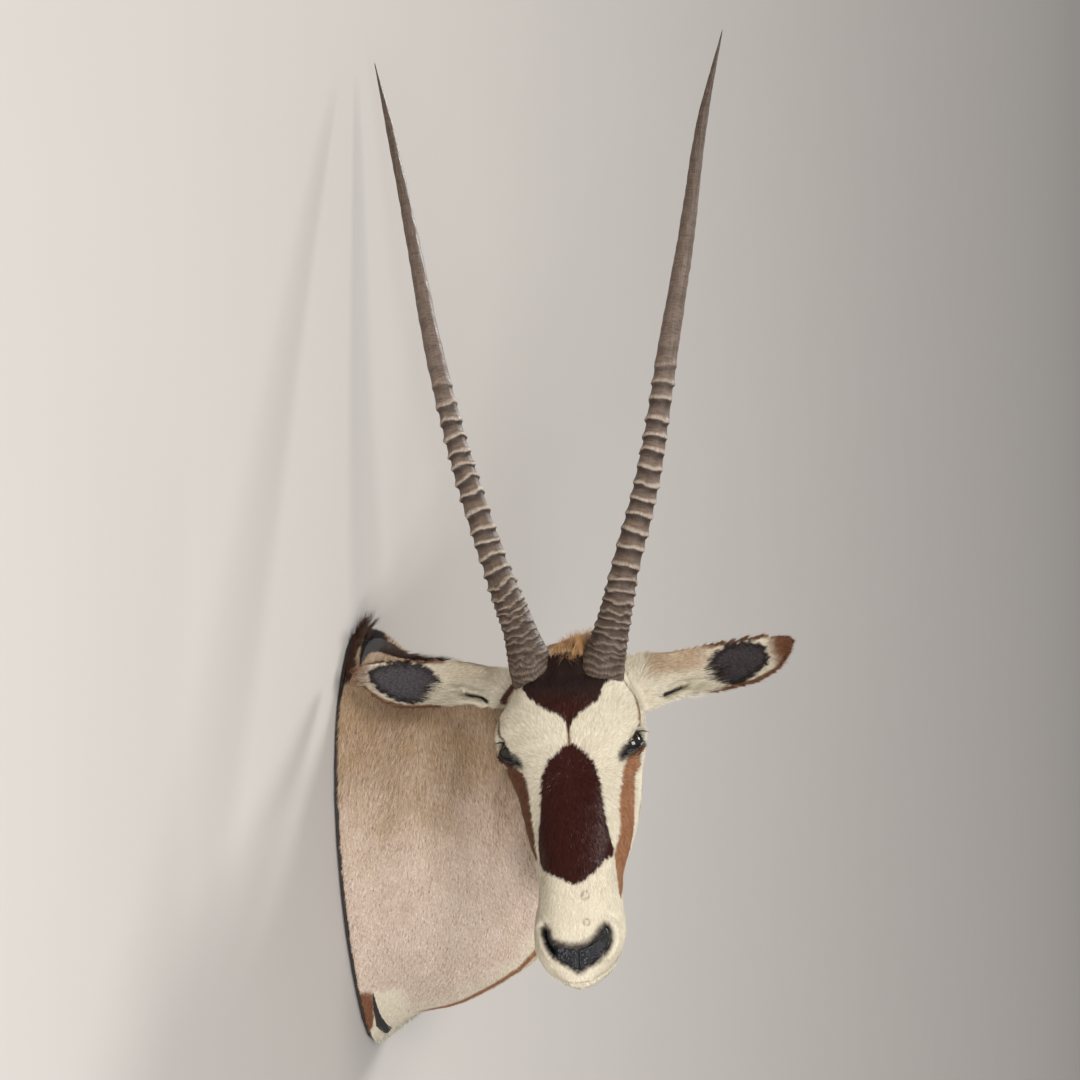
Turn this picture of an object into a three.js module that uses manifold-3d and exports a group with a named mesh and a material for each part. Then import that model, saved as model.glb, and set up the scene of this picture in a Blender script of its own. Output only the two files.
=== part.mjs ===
// Gemsbok shoulder mount: the head, neck and horns of a gemsbok as a taxidermist mounts them,
// on an oval backboard that hangs on a wall. The head is turned about 75 degrees to the
// animal's right.
//
// Millimetres, +Z up. The origin is the middle of the backboard's rear face, the wall is the
// plane Y = 0 behind it, and the neck leaves the wall along -Y.

import * as THREE from 'three';
import { mergeVertices } from 'three/addons/utils/BufferGeometryUtils.js';
import Module from 'manifold-3d';

const GAP = 0.3; // clearance kept between pieces that touch

// The head frame: U runs down the face from the horn bases to the nose, V to the animal's
// left, W out of the forehead. HEAD is the skin of the forehead between the horn bases.
const HEAD = new THREE.Vector3(-185, -306.3, 191.9);
const HEAD_U = new THREE.Vector3(-0.3346, -0.1237, -0.9342);
const HEAD_V = new THREE.Vector3(0.1763, -0.9821, 0.0669);
const HEAD_W = new THREE.Vector3(-0.9257, -0.1423, 0.3504);

// Head sections across the face: distance down the face, how far the section's middle is
// moved sideways, and its half outline as [v, w] from the middle of the forehead, round the
// cheek, to the middle of the jaw.
const HEAD_SECTIONS = [
  { u: -56, shift: 0, half: [[0, -42], [20, -48], [32, -68], [26, -92], [0, -106]] },
  { u: -40, shift: 0, half: [[0, -14], [34, -20], [54, -56], [44, -106], [0, -133]] },
  { u: 0, shift: 0, half: [[0, 0], [43, -5], [68, -45], [54, -115], [0, -155]] },
  { u: 40, shift: -3, half: [[0, 5], [52, -4], [85, -38], [60, -118], [0, -171]] },
  { u: 85, shift: -3, half: [[0, 4], [52, -6], [79, -38], [62, -113], [0, -170]] },
  { u: 130, shift: 0, half: [[0, 3], [40, -7], [69, -50], [55, -108], [0, -158]] },
  { u: 185, shift: 0, half: [[0, 2], [34, -7], [57, -45], [42, -95], [0, -132]] },
  { u: 240, shift: -4, half: [[0, 0], [31, -7], [48, -41], [35, -79], [0, -105]] },
  { u: 280, shift: -7, half: [[0, -1], [29, -7], [52, -38], [34, -70], [0, -92]] },
  { u: 305, shift: -9, half: [[0, -4], [30, -9], [49, -38], [38, -70], [0, -88]] },
  { u: 325, shift: -10, half: [[0, -11], [24, -18], [36, -41], [34, -67], [0, -83]] },
  { u: 341, shift: -10, half: [[0, -24], [12, -28], [18, -46], [18, -62], [0, -72]] },
];
const HEAD_CAPS = [[-60, 0, -74], [349, -10, -49]]; // the crown behind the horns, the lips

// Neck sections from the wall to the head: middle, turn towards the animal's right and rise
// in degrees, and the reach to the crest, to the throat, and to the left and right side. The
// crest leans to the animal's right, as the head does, and on the wall the throat does too.
const SKIRT_Y = -4; // rear edge of the hide
const CREST_LEAN = 12;
const NECK_SECTIONS = [
  {
    at: [0, SKIRT_Y, 40], turn: 0, rise: 0, crest: 200, throat: 328, left: 150, right: 165,
    crestLean: 74, throatLean: 66,
  },
  { at: [0, -40, 16], turn: 0, rise: 0, crest: 194, throat: 282, left: 150, right: 151 },
  { at: [0, -110, 4], turn: 4, rise: 0, crest: 188, throat: 252, left: 144, right: 142 },
  { at: [2, -172, 8], turn: 20, rise: 4, crest: 178, throat: 218, left: 132, right: 122 },
  { at: [-8, -226, 42], turn: 42, rise: 12, crest: 150, throat: 168, left: 112, right: 100 },
  { at: [-35, -262, 82], turn: 60, rise: 20, crest: 126, throat: 138, left: 90, right: 84 },
  { at: [-75, -285, 112], turn: 74, rise: 22, crest: 102, throat: 108, left: 70, right: 70 },
  { at: [-112, -293, 128], turn: 80, rise: 20, crest: 70, throat: 76, left: 46, right: 48 },
];

// Ear sections from root to tip: distance out from the face's middle, height of the middle
// down the face, half width, plane of the rim, and how far the front and back stand from it.
const LEFT_EAR = [
  { v: 62, u: -6, half: 24, rim: -72, front: 14, back: -20 },
  { v: 92, u: -8, half: 27, rim: -70, front: 9, back: -23 },
  { v: 112, u: -12, half: 25, rim: -70, front: -3, back: -24 },
  { v: 138, u: -15, half: 29, rim: -71, front: -12, back: -23 },
  { v: 162, u: -17, half: 31, rim: -72, front: -13, back: -21 },
  { v: 188, u: -20, half: 30, rim: -72, front: -11, back: -18 },
  { v: 214, u: -23, half: 29, rim: -71, front: -7, back: -14 },
  { v: 240, u: -29, half: 23, rim: -69, front: -3, back: -9 },
  { v: 255, u: -36, half: 14, rim: -67, front: -1, back: -6 },
];
const RIGHT_EAR = [
  { v: -62, u: -12, half: 24, rim: -72, front: 14, back: -20 },
  { v: -90, u: -16, half: 25, rim: -70, front: 9, back: -23 },
  { v: -106, u: -20, half: 25, rim: -70, front: -3, back: -24 },
  { v: -134, u: -26, half: 28, rim: -71, front: -12, back: -23 },
  { v: -166, u: -28, half: 31, rim: -72, front: -13, back: -21 },
  { v: -208, u: -31, half: 31, rim: -72, front: -9, back: -17 },
  { v: -232, u: -36, half: 27, rim: -70, front: -5, back: -12 },
  { v: -250, u: -43, half: 20, rim: -68, front: -2, back: -8 },
  { v: -265, u: -51, half: 10, rim: -66, front: -1, back: -6 },
];
const LEFT_EAR_TIP = [-43, 264, -68];
const RIGHT_EAR_TIP = [-57, -275, -67];

// Horn centrelines from the root inside the skull to the tip: [u, v, w, radius].
const ROOT_LENGTH = 30; // the first stretch, inside the hide
const RIGHT_HORN = [
  [16, -38, -22.5, 21], [-13, -43, -18, 24.2], [-65, -53, -10.5, 19.6], [-143, -76, 0.4, 15.6],
  [-273, -108.5, 17.2, 13.6], [-416, -134.5, 33.7, 10.9], [-561, -153, 48.4, 7.7],
  [-711, -174, 61.4, 4.6], [-803, -189.3, 68.2, 0.4],
];
const LEFT_HORN = [
  [23, 34, -23, 21], [-6, 40.4, -19, 24.2], [-36, 47, -14.7, 22], [-75, 60.5, -9.1, 18.6],
  [-127, 76, -1.8, 16.4], [-233, 112, 12.3, 14.6], [-396, 151, 31.6, 12],
  [-523, 182, 44.8, 9.4], [-668, 213.5, 57.9, 6.4], [-789.4, 249.5, 67.3, 0.4],
];
const RING_ZONE = 385; // the rings end this far up the horn
const RING_SPACING = [5.4, 20.5]; // from one ring to the next, at the base and at the top
const RING_SPREAD = 240; // height over which the spacing grows
const RING_HEIGHT = 1.5; // how far a ring's lip stands out above the mean radius
const RING_GROWTH = [0.45, 1]; // the share of it at the base and further up
const RING_STEP = 2.2; // length of the steep underside of a lip
const RING_DIP = 0.25; // the front of each ring is lower by this share of the radius
const SOCKET_HEIGHT = 70; // the hole for the root is cut as far as this above the skin
const SOCKET_STEP = 10; // length of its facets
const SMOOTH_ROWS = 12; // rows of facets on the smooth upper horn
const HORN_SIDES = 10;

// Glass eyes: middle as [u, v, w], and the way they look, in the head frame.
const EYE_RADIUS = 18;
const EYE_BACK = 0.45; // the back half is this flat
const LEFT_EYE = { at: [76, 64, -41], look: [0.05, 0.84, 0.54] };
const RIGHT_EYE = { at: [75, -70, -41], look: [0.05, -0.84, 0.54] };

// Backboard: a lip as wide as the hide, and a core that the hide's form takes in.
const LIP = { inset: 1.5, front: SKIRT_Y + GAP };
const CORE = { inset: 13, front: -18 };

// Hanger: a keyhole plate let into the back of the board, with two screws.
const PLATE = { width: 64, height: 34, rear: -0.5, thick: 2.5, z: 175 };
const KEYHOLE = { eye: 6.5, slot: 3, rise: 11, depth: 9 };
const PLATE_SCREW = { x: 24, head: 4, shank: 2, length: 14, rear: -0.6 };

// Four screws hold the board to the form inside the neck.
const FORM_SCREW = { x: 78, z: [120, -170], head: 6, shank: 2.6, length: 52, rear: -0.8 };

const wasm = await Module();
wasm.setup();

/** A point of the head frame, in the part's frame. */
function headPoint([u, v, w]) {
  return HEAD.clone().addScaledVector(HEAD_U, u).addScaledVector(HEAD_V, v)
    .addScaledVector(HEAD_W, w);
}

/** A direction of the head frame, in the part's frame. */
function headDirection([u, v, w]) {
  return new THREE.Vector3().addScaledVector(HEAD_U, u).addScaledVector(HEAD_V, v)
    .addScaledVector(HEAD_W, w).normalize();
}

/** A closed geometry as a solid that can be joined and cut. */
function solid(geometry) {
  const bare = geometry.clone();
  bare.deleteAttribute('normal');
  bare.deleteAttribute('uv');
  const merged = mergeVertices(bare, 1e-4);
  const vertProperties = new Float32Array(merged.attributes.position.array);
  const triVerts = new Uint32Array(merged.index.array);
  return new wasm.Manifold(new wasm.Mesh({ numProp: 3, vertProperties, triVerts }));
}

/** The geometry of a solid. */
function geometryOf(shape) {
  const { vertProperties, triVerts } = shape.getMesh();
  const geometry = new THREE.BufferGeometry();
  geometry.setAttribute('position', new THREE.BufferAttribute(vertProperties, 3));
  geometry.setIndex(new THREE.BufferAttribute(triVerts, 1));
  geometry.computeVertexNormals();
  return geometry;
}

/** A cylinder whose vertices are moved: place(t, angle, share) gives each vertex, with t from
 * 0 to 1 along it, angle around it, and share 1 on the wall and 0 in the middle of a cap. */
function bentCylinder(around, along, place) {
  const geometry = new THREE.CylinderGeometry(1, 1, 1, around, along);
  const position = geometry.attributes.position;
  for (let i = 0; i < position.count; i += 1) {
    const share = Math.round(Math.hypot(position.getX(i), position.getZ(i)));
    const angle = Math.atan2(position.getX(i), position.getZ(i));
    const point = place(0.5 - position.getY(i), angle, share);
    position.setXYZ(i, point.x, point.y, point.z);
  }
  return geometry;
}

/** A closed loft through sections of equally many points, closed at each end by a cap. */
function loft(sections, caps, around, along) {
  const lines = sections[0].map((_, k) => new THREE.CatmullRomCurve3(
    sections.map((section) => section[k]), false, 'centripetal'));
  const rings = new Map();
  return bentCylinder(around, along, (t, angle, share) => {
    if (share === 0) return t < 0.5 ? caps[0] : caps[1];
    if (!rings.has(t)) {
      const points = lines.map((line) => line.getPoint(t));
      rings.set(t, new THREE.CatmullRomCurve3(points, true, 'centripetal'));
    }
    return rings.get(t).getPoint((angle / (2 * Math.PI) + 1) % 1);
  });
}

/** The whole ring of a symmetrical section from its half outline of five points. */
function wholeRing(half) {
  const mirrored = half.slice(1, 4).reverse().map(([side, up]) => [-side, up]);
  return half.concat(mirrored);
}

function headGeometry() {
  const sections = HEAD_SECTIONS.map(({ u, shift, half }) =>
    wholeRing(half).map(([v, w]) => headPoint([u, v + shift, w])));
  return loft(sections, HEAD_CAPS.map(headPoint), 24, 26);
}

/** One neck section's ring, [side, up] in the section's own plane. */
function neckRing(section, inset = 0) {
  const { crest, throat, left, right, crestLean = CREST_LEAN, throatLean = 0 } = section;
  const [top, bottom, east, west] = [crest, throat, left, right].map((d) => d - inset);
  return [
    [-crestLean, top], [0.76 * east, 0.64 * top], [east, 0], [0.81 * east, -0.66 * bottom],
    [-throatLean, -bottom], [-0.81 * west, -0.66 * bottom], [-west, 0], [-0.8 * west, 0.72 * top],
  ];
}

function neckGeometry() {
  const sections = NECK_SECTIONS.map((section) => {
    const turn = THREE.MathUtils.degToRad(section.turn);
    const rise = THREE.MathUtils.degToRad(section.rise);
    const side = new THREE.Vector3(Math.cos(turn), -Math.sin(turn), 0);
    const up = new THREE.Vector3(
      Math.sin(turn) * Math.sin(rise), Math.cos(turn) * Math.sin(rise), Math.cos(rise));
    const middle = new THREE.Vector3(...section.at);
    return neckRing(section).map(([a, b]) =>
      middle.clone().addScaledVector(side, a).addScaledVector(up, b));
  });
  const caps = [NECK_SECTIONS[0], NECK_SECTIONS.at(-1)].map(({ at }) => new THREE.Vector3(...at));
  return loft(sections, caps, 24, 17);
}

/** One ear: a cupped leaf with its open side forwards. side is 1 for left, -1 for right. */
function earGeometry(rows, tip, side) {
  const sections = rows.map(({ v, u, half, rim, front, back }) => [
    [0, front], [0.6, 0.6 * front], [1, 0], [0.62, 0.72 * back],
    [0, back], [-0.62, 0.72 * back], [-1, 0], [-0.6, 0.6 * front],
  ].map(([across, out]) => headPoint([u - side * across * half, v, rim + out])));
  const root = rows[0];
  return loft(sections, [headPoint([root.u, root.v, root.rim]), headPoint(tip)], 12, 12);
}

/** Heights of the horn rings above the skin. */
function ringHeights() {
  const heights = [];
  let height = 4;
  while (height < RING_ZONE) {
    heights.push(height);
    const share = THREE.MathUtils.smoothstep(height, 0, RING_SPREAD);
    height += THREE.MathUtils.lerp(...RING_SPACING, share);
  }
  return heights;
}

/** Rows of a horn, as a length from its root and a height above the mean radius. */
function hornRows(length) {
  const rows = [{ s: 0, lip: 0 }, { s: ROOT_LENGTH - 4, lip: 0 }];
  for (const height of ringHeights()) {
    const growth = THREE.MathUtils.smoothstep(height, 0, RING_SPREAD / 2);
    const lip = RING_HEIGHT * THREE.MathUtils.lerp(...RING_GROWTH, growth);
    rows.push({ s: ROOT_LENGTH + height - RING_STEP, lip: -lip });
    rows.push({ s: ROOT_LENGTH + height, lip });
  }
  const from = ROOT_LENGTH + RING_ZONE + 15;
  for (let i = 0; i <= SMOOTH_ROWS; i += 1) {
    rows.push({ s: THREE.MathUtils.lerp(from, length, i / SMOOTH_ROWS), lip: 0 });
  }
  return rows;
}

/** Rows of the plain hole that clears a horn's root and lowest rings. */
function socketRows() {
  const rows = [{ s: -GAP, lip: 0 }];
  for (let s = SOCKET_STEP; s <= ROOT_LENGTH + SOCKET_HEIGHT; s += SOCKET_STEP) {
    rows.push({ s, lip: 0 });
  }
  return rows;
}

/** One horn, or with socket true the plain hole that clears its root and lowest rings. */
function hornGeometry(keys, socket = false) {
  const line = new THREE.CatmullRomCurve3(keys.map(headPoint), false, 'centripetal');
  line.arcLengthDivisions = 600;
  const length = line.getLength();
  const grow = socket ? RING_HEIGHT + GAP : 0;
  const rows = socket ? socketRows() : hornRows(length);
  return bentCylinder(HORN_SIDES, rows.length - 1, (t, angle, share) => {
    const { s, lip } = rows[Math.round(t * (rows.length - 1))];
    const lineT = line.getUtoTmapping(THREE.MathUtils.clamp(s / length, 0, 1));
    const along = line.getTangent(lineT);
    const middle = line.getPoint(lineT).addScaledVector(along, Math.min(s, 0));
    if (share === 0) return middle;
    const key = lineT * (keys.length - 1);
    const below = Math.min(Math.floor(key), keys.length - 2);
    const mean = THREE.MathUtils.lerp(keys[below][3], keys[below + 1][3], key - below);
    const right = new THREE.Vector3().crossVectors(HEAD_W, along).normalize();
    const front = new THREE.Vector3().crossVectors(along, right);
    const radius = mean + lip * Math.min(1, mean / 10) + grow;
    const dip = Math.abs(lip) > 0 ? -RING_DIP * mean * Math.cos(angle) : 0;
    return middle.addScaledVector(front, radius * Math.cos(angle))
      .addScaledVector(right, radius * Math.sin(angle)).addScaledVector(along, dip);
  });
}

/** A glass eye: half a ball, flattened behind; grow makes the socket. */
function eyeGeometry({ at, look }, grow = 0) {
  const geometry = new THREE.SphereGeometry(EYE_RADIUS + grow, 16, 9);
  const position = geometry.attributes.position;
  for (let i = 0; i < position.count; i += 1) {
    if (position.getY(i) < 0) position.setY(i, position.getY(i) * EYE_BACK);
  }
  const turn = new THREE.Quaternion().setFromUnitVectors(
    new THREE.Vector3(0, 1, 0), headDirection(look));
  geometry.applyQuaternion(turn);
  geometry.translate(...headPoint(at).toArray());
  return geometry;
}

/** The wall outline, moved in by inset, as a plate from Y = rear forwards to Y = front. */
function plate(inset, rear, front) {
  const ring = neckRing(NECK_SECTIONS[0], inset);
  const points = ring.map(([x, z]) => new THREE.Vector3(x, z + NECK_SECTIONS[0].at[2], 0));
  const outline = new THREE.CatmullRomCurve3(points, true, 'centripetal').getPoints(32);
  const shape = new THREE.Shape(outline.slice(0, -1).map(({ x, y }) => new THREE.Vector2(x, y)));
  return extruded(shape, rear, front);
}

/** A shape drawn in X and Z, as a plate from Y = rear forwards to Y = front. */
function extruded(shape, rear, front) {
  const geometry = new THREE.ExtrudeGeometry(shape, {
    depth: rear - front, bevelEnabled: false, curveSegments: 6,
  });
  return geometry.rotateX(Math.PI / 2).translate(0, rear, 0);
}

/** A rectangle in X and Z around a middle. */
function rectangle(x, z, width, height) {
  const [w, h] = [width / 2, height / 2];
  return new THREE.Shape([[x - w, z - h], [x + w, z - h], [x + w, z + h], [x - w, z + h]]
    .map(([a, b]) => new THREE.Vector2(a, b)));
}

/** The keyhole's outline: a round eye with a narrower slot rising from it. */
function keyhole(grow) {
  const eye = KEYHOLE.eye + grow;
  const slot = KEYHOLE.slot + grow;
  const low = PLATE.z - 5;
  const start = Math.asin(slot / eye);
  const shape = new THREE.Shape();
  shape.absarc(0, low, eye, Math.PI / 2 + start, Math.PI / 2 - start + 2 * Math.PI, false);
  shape.absarc(0, low + KEYHOLE.rise, slot, 0, Math.PI, false);
  return shape;
}

/** A countersunk wood screw driven in along -Y; grow makes the hole for it. */
function screwGeometry(x, z, { head, shank, length, rear }, grow = 0) {
  const profile = [
    [0, rear + grow], [head + grow, rear + grow], [head + grow, rear - 0.8],
    [shank + grow, rear - 0.8 - (head - shank)], [shank + grow, rear - length + 4],
    [0, rear - length - grow],
  ];
  const points = profile.map(([r, y]) => new THREE.Vector2(r, y)).reverse();
  return new THREE.LatheGeometry(points, 10).translate(x, 0, z);
}

const plateScrews = [-1, 1].map((side) => [side * PLATE_SCREW.x, PLATE.z]);
const formScrews = FORM_SCREW.z.flatMap((z) => [-1, 1].map((side) => [side * FORM_SCREW.x, z]));

/** Cuts each geometry from a solid. */
function cut(shape, geometries) {
  return geometries.reduce((left, geometry) => left.subtract(solid(geometry)), shape);
}

function capeGeometry() {
  const outside = solid(headGeometry())
    .add(solid(neckGeometry()))
    .add(solid(earGeometry(LEFT_EAR, LEFT_EAR_TIP, 1)))
    .add(solid(earGeometry(RIGHT_EAR, RIGHT_EAR_TIP, -1)));
  return geometryOf(cut(outside, [
    plate(CORE.inset - GAP, SKIRT_Y + 1, CORE.front - GAP),
    hornGeometry(RIGHT_HORN, true),
    hornGeometry(LEFT_HORN, true),
    eyeGeometry(LEFT_EYE, GAP),
    eyeGeometry(RIGHT_EYE, GAP),
    ...formScrews.map(([x, z]) => screwGeometry(x, z, FORM_SCREW, GAP)),
  ]));
}

function boardGeometry() {
  const board = solid(plate(LIP.inset, 0, LIP.front)).add(solid(plate(CORE.inset, 0, CORE.front)));
  const recess = rectangle(0, PLATE.z, PLATE.width + 2 * GAP, PLATE.height + 2 * GAP);
  const pocket = rectangle(0, PLATE.z + 1, 30, 30);
  return geometryOf(cut(board, [
    extruded(recess, 1, PLATE.rear - PLATE.thick - GAP),
    extruded(pocket, 1, PLATE.rear - PLATE.thick - KEYHOLE.depth),
    ...plateScrews.map(([x, z]) => screwGeometry(x, z, PLATE_SCREW, GAP)),
    ...formScrews.map(([x, z]) => screwGeometry(x, z, FORM_SCREW, GAP)),
    ...formScrews.map(([x, z]) => extruded(
      new THREE.Shape().absarc(x, z, FORM_SCREW.head + GAP, 0, 2 * Math.PI, false), 1, -0.7)),
  ]));
}

function hangerGeometry() {
  const bar = rectangle(0, PLATE.z, PLATE.width, PLATE.height);
  bar.holes.push(keyhole(0));
  const blank = solid(extruded(bar, PLATE.rear, PLATE.rear - PLATE.thick));
  return geometryOf(cut(blank, [
    ...plateScrews.map(([x, z]) => screwGeometry(x, z, PLATE_SCREW, GAP)),
    ...plateScrews.map(([x, z]) => extruded(
      new THREE.Shape().absarc(x, z, PLATE_SCREW.head + GAP, 0, 2 * Math.PI, false), 1,
      PLATE_SCREW.rear)),
  ]));
}

const wood = new THREE.MeshStandardMaterial({ color: 0x2a211c, roughness: 0.7, metalness: 0 });
const steel = new THREE.MeshStandardMaterial({ color: 0x9a9a96, roughness: 0.4, metalness: 1 });
const hide = new THREE.MeshStandardMaterial({ color: 0xb9a48e, roughness: 0.85, metalness: 0 });
const horn = new THREE.MeshStandardMaterial({ color: 0x6f6056, roughness: 0.5, metalness: 0 });
const glass = new THREE.MeshStandardMaterial({ color: 0x120d0b, roughness: 0.05, metalness: 0 });

const part = new THREE.Group();

function addPiece(name, geometry, material) {
  const mesh = new THREE.Mesh(geometry, material);
  mesh.name = name;
  part.add(mesh);
}

addPiece('backboard', boardGeometry(), wood);
addPiece('hanger_plate', hangerGeometry(), steel);
plateScrews.forEach(([x, z], i) => {
  addPiece(`hanger_screw_${i + 1}`, screwGeometry(x, z, PLATE_SCREW), steel);
});
formScrews.forEach(([x, z], i) => {
  addPiece(`form_screw_${i + 1}`, screwGeometry(x, z, FORM_SCREW), steel);
});
addPiece('cape', capeGeometry(), hide);
addPiece('right_horn', hornGeometry(RIGHT_HORN), horn);
addPiece('left_horn', hornGeometry(LEFT_HORN), horn);
addPiece('right_eye', eyeGeometry(RIGHT_EYE), glass);
addPiece('left_eye', eyeGeometry(LEFT_EYE), glass);

export default part;
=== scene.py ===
"""Gemsbok shoulder mount: a tanned hide with its hair, ringed horns and glass eyes.

Metres, +Z up. The wall is the plane Y = 0, the neck leaves it along -Y, and the head is turned
to the animal's right. Places on the head are given in millimetres: u down the face from the
horn bases, v to the animal's left, and w out of the forehead.
"""

import math

import bmesh
import bpy
import numpy as np
from mathutils import Matrix, Vector
from mathutils.bvhtree import BVHTree
from mathutils.geometry import convex_hull_2d, tessellate_polygon


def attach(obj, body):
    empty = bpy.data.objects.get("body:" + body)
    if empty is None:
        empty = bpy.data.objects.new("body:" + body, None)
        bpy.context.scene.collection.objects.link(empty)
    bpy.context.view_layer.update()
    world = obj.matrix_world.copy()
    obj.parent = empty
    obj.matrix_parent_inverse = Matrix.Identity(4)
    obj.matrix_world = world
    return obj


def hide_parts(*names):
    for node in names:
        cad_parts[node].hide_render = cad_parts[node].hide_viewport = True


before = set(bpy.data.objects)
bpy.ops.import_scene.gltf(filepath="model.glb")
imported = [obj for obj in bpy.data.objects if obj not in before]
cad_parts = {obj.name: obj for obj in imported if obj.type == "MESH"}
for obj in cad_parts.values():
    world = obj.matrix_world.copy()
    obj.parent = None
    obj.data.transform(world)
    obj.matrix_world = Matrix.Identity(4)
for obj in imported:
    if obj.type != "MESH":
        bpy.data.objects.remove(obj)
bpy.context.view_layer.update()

MM = 0.001
HEAD = np.array([-0.185, -0.3063, 0.1919])  # skin of the forehead between the horn bases
HEAD_AXES = np.array([  # the ways u, v and w point
    [-0.3346, -0.1237, -0.9342], [0.1763, -0.9821, 0.0669], [-0.9257, -0.1423, 0.3504],
])

# ---------------------------------------------------------------- camera, lights and room

CAMERA_PLACE = (-2.4362, -0.9678, 0.4786)
CAMERA_FORWARD = Vector((0.955, 0.292, -0.0523))
CAMERA_RIGHT = Vector((0.2904, -0.9563, -0.0349))
LENS = 67.7  # mm, on the 36 mm sensor, for a square picture

camera = bpy.data.objects.new("camera", bpy.data.cameras.new("camera"))
bpy.context.collection.objects.link(camera)
right = CAMERA_RIGHT.normalized()
back = -(CAMERA_FORWARD - CAMERA_FORWARD.dot(right) * right).normalized()
turn = Matrix((right, back.cross(right), back)).transposed()
camera.matrix_world = Matrix.Translation(CAMERA_PLACE) @ turn.to_4x4()
camera.data.lens = LENS
camera.data.clip_end = 200
bpy.context.scene.camera = camera
bpy.context.scene.view_settings.view_transform = "Standard"


def linear(colour):
    """An sRGB hex colour as the linear red, green, blue and alpha that a socket takes."""
    channels = [int(colour[i:i + 2], 16) / 255 for i in (1, 3, 5)]
    return [c / 12.92 if c <= 0.04045 else ((c + 0.055) / 1.055) ** 2.4 for c in channels] + [1]


def add(tree, kind, inputs=(), **settings):
    """Adds a node. inputs gives sockets, by name or number, a value or another node's output."""
    node = tree.nodes.new("ShaderNode" + kind)
    for name, value in settings.items():
        setattr(node, name, value)
    for socket, value in dict(inputs).items():
        if isinstance(value, bpy.types.NodeSocket):
            tree.links.new(value, node.inputs[socket])
        else:
            node.inputs[socket].default_value = value
    return node


def new_material(name):
    """An empty material with its output node: the material, its tree and the output."""
    material = bpy.data.materials.new(name)
    material.use_nodes = True
    material.node_tree.nodes.clear()
    return material, material.node_tree, add(material.node_tree, "OutputMaterial")


def soft_light(name, place, aim, size, watts, colour):
    """A square softbox at place, turned to aim."""
    data = bpy.data.lights.new(name, "AREA")
    data.shape = "SQUARE"
    data.size = size
    data.energy = watts
    data.color = linear(colour)[:3]
    lamp = bpy.data.objects.new(name, data)
    bpy.context.collection.objects.link(lamp)
    lamp.location = place
    lamp.rotation_euler = (Vector(aim) - Vector(place)).to_track_quat("-Z", "Y").to_euler()


MIDDLE = (-0.15, -0.25, 0.2)  # of the mount, which the softboxes are turned to
soft_light("front softbox", (-2.7, -4.6, 2.6), MIDDLE, size=2.2, watts=184, colour="#fffdf8")
soft_light("low softbox", (-3.6, -1.6, -1.2), MIDDLE, size=1.2, watts=132, colour="#fdfcff")

window = bpy.data.objects.new("far window", bpy.data.lights.new("far window", "SUN"))
bpy.context.collection.objects.link(window)
window.data.energy = 3.0
window.data.angle = math.radians(15)
window.rotation_euler = Vector((-0.8, 0.5, -0.5)).to_track_quat("-Z", "Y").to_euler()

world = bpy.data.worlds.new("pale room")
bpy.context.scene.world = world
world.use_nodes = True
world.node_tree.nodes["Background"].inputs["Color"].default_value = linear("#f6f6f6")
world.node_tree.nodes["Background"].inputs["Strength"].default_value = 0.46


def room_material(name, colour, one_sided):
    """Painted plaster: matt, with a faint unevenness of 30 cm, and darker where the room goes on
    to the right, which is painted shade for the light falling off along the room. A one-sided wall
    shows only from the room, so that the back of the mount can be looked at through it."""
    material, tree, out = new_material(name)
    place = add(tree, "TexCoord").outputs["Object"]
    cloud = add(tree, "TexNoise", {"Vector": place, "Scale": 3.3, "Detail": 3.0})
    greyer = [channel * 0.97 for channel in linear(colour)[:3]] + [1]
    tone = add(tree, "Mix", {0: cloud.outputs["Fac"], 6: greyer, 7: linear(colour)},
               data_type="RGBA").outputs[2]
    # painted shade: the paint grows darker along X, in place of the light falling off down the
    # room
    along = add(tree, "SeparateXYZ", {0: place}).outputs["X"]
    far = add(tree, "MapRange", {"Value": along, "From Max": 25.0}).outputs[0]
    painted_falloff = add(tree, "ValToRGB", {0: far})
    stops = painted_falloff.color_ramp.elements
    stops.new(0.12)
    for stop, level in zip(stops, (0.88, 0.86, 0.66)):
        stop.color = (level, level, level, 1)
    tone = add(tree, "VectorMath", {0: tone, 1: painted_falloff.outputs["Color"]},
               operation="MULTIPLY").outputs[0]
    paint = add(tree, "BsdfDiffuse", {"Color": tone}).outputs[0]
    if one_sided:
        clear = add(tree, "BsdfTransparent").outputs[0]
        behind = add(tree, "NewGeometry").outputs["Backfacing"]
        paint = add(tree, "MixShader", {0: behind, 1: paint, 2: clear}).outputs[0]
    tree.links.new(paint, out.inputs["Surface"])
    return material


def stage_plane(name, outline, hole, material):
    """A flat stage face with the corners given, open inside hole."""
    loops = [[Vector(p) for p in loop] for loop in (outline, hole) if loop]
    faces = tessellate_polygon(loops)
    mesh = bpy.data.meshes.new(name)
    mesh.from_pydata([tuple(p) for loop in loops for p in loop], [], faces)
    mesh.materials.append(material)
    piece = bpy.data.objects.new(name, mesh)
    bpy.context.collection.objects.link(piece)
    return piece


WALL_GAP = 0.002  # the wall lies this far behind the board
ROOM = {"left": -8.0, "right": 45.0, "floor": -9.0, "top": 30.0, "front": -9.0}
OPENING = 0.8  # the wall is open behind the board, as large as this share of it


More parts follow.
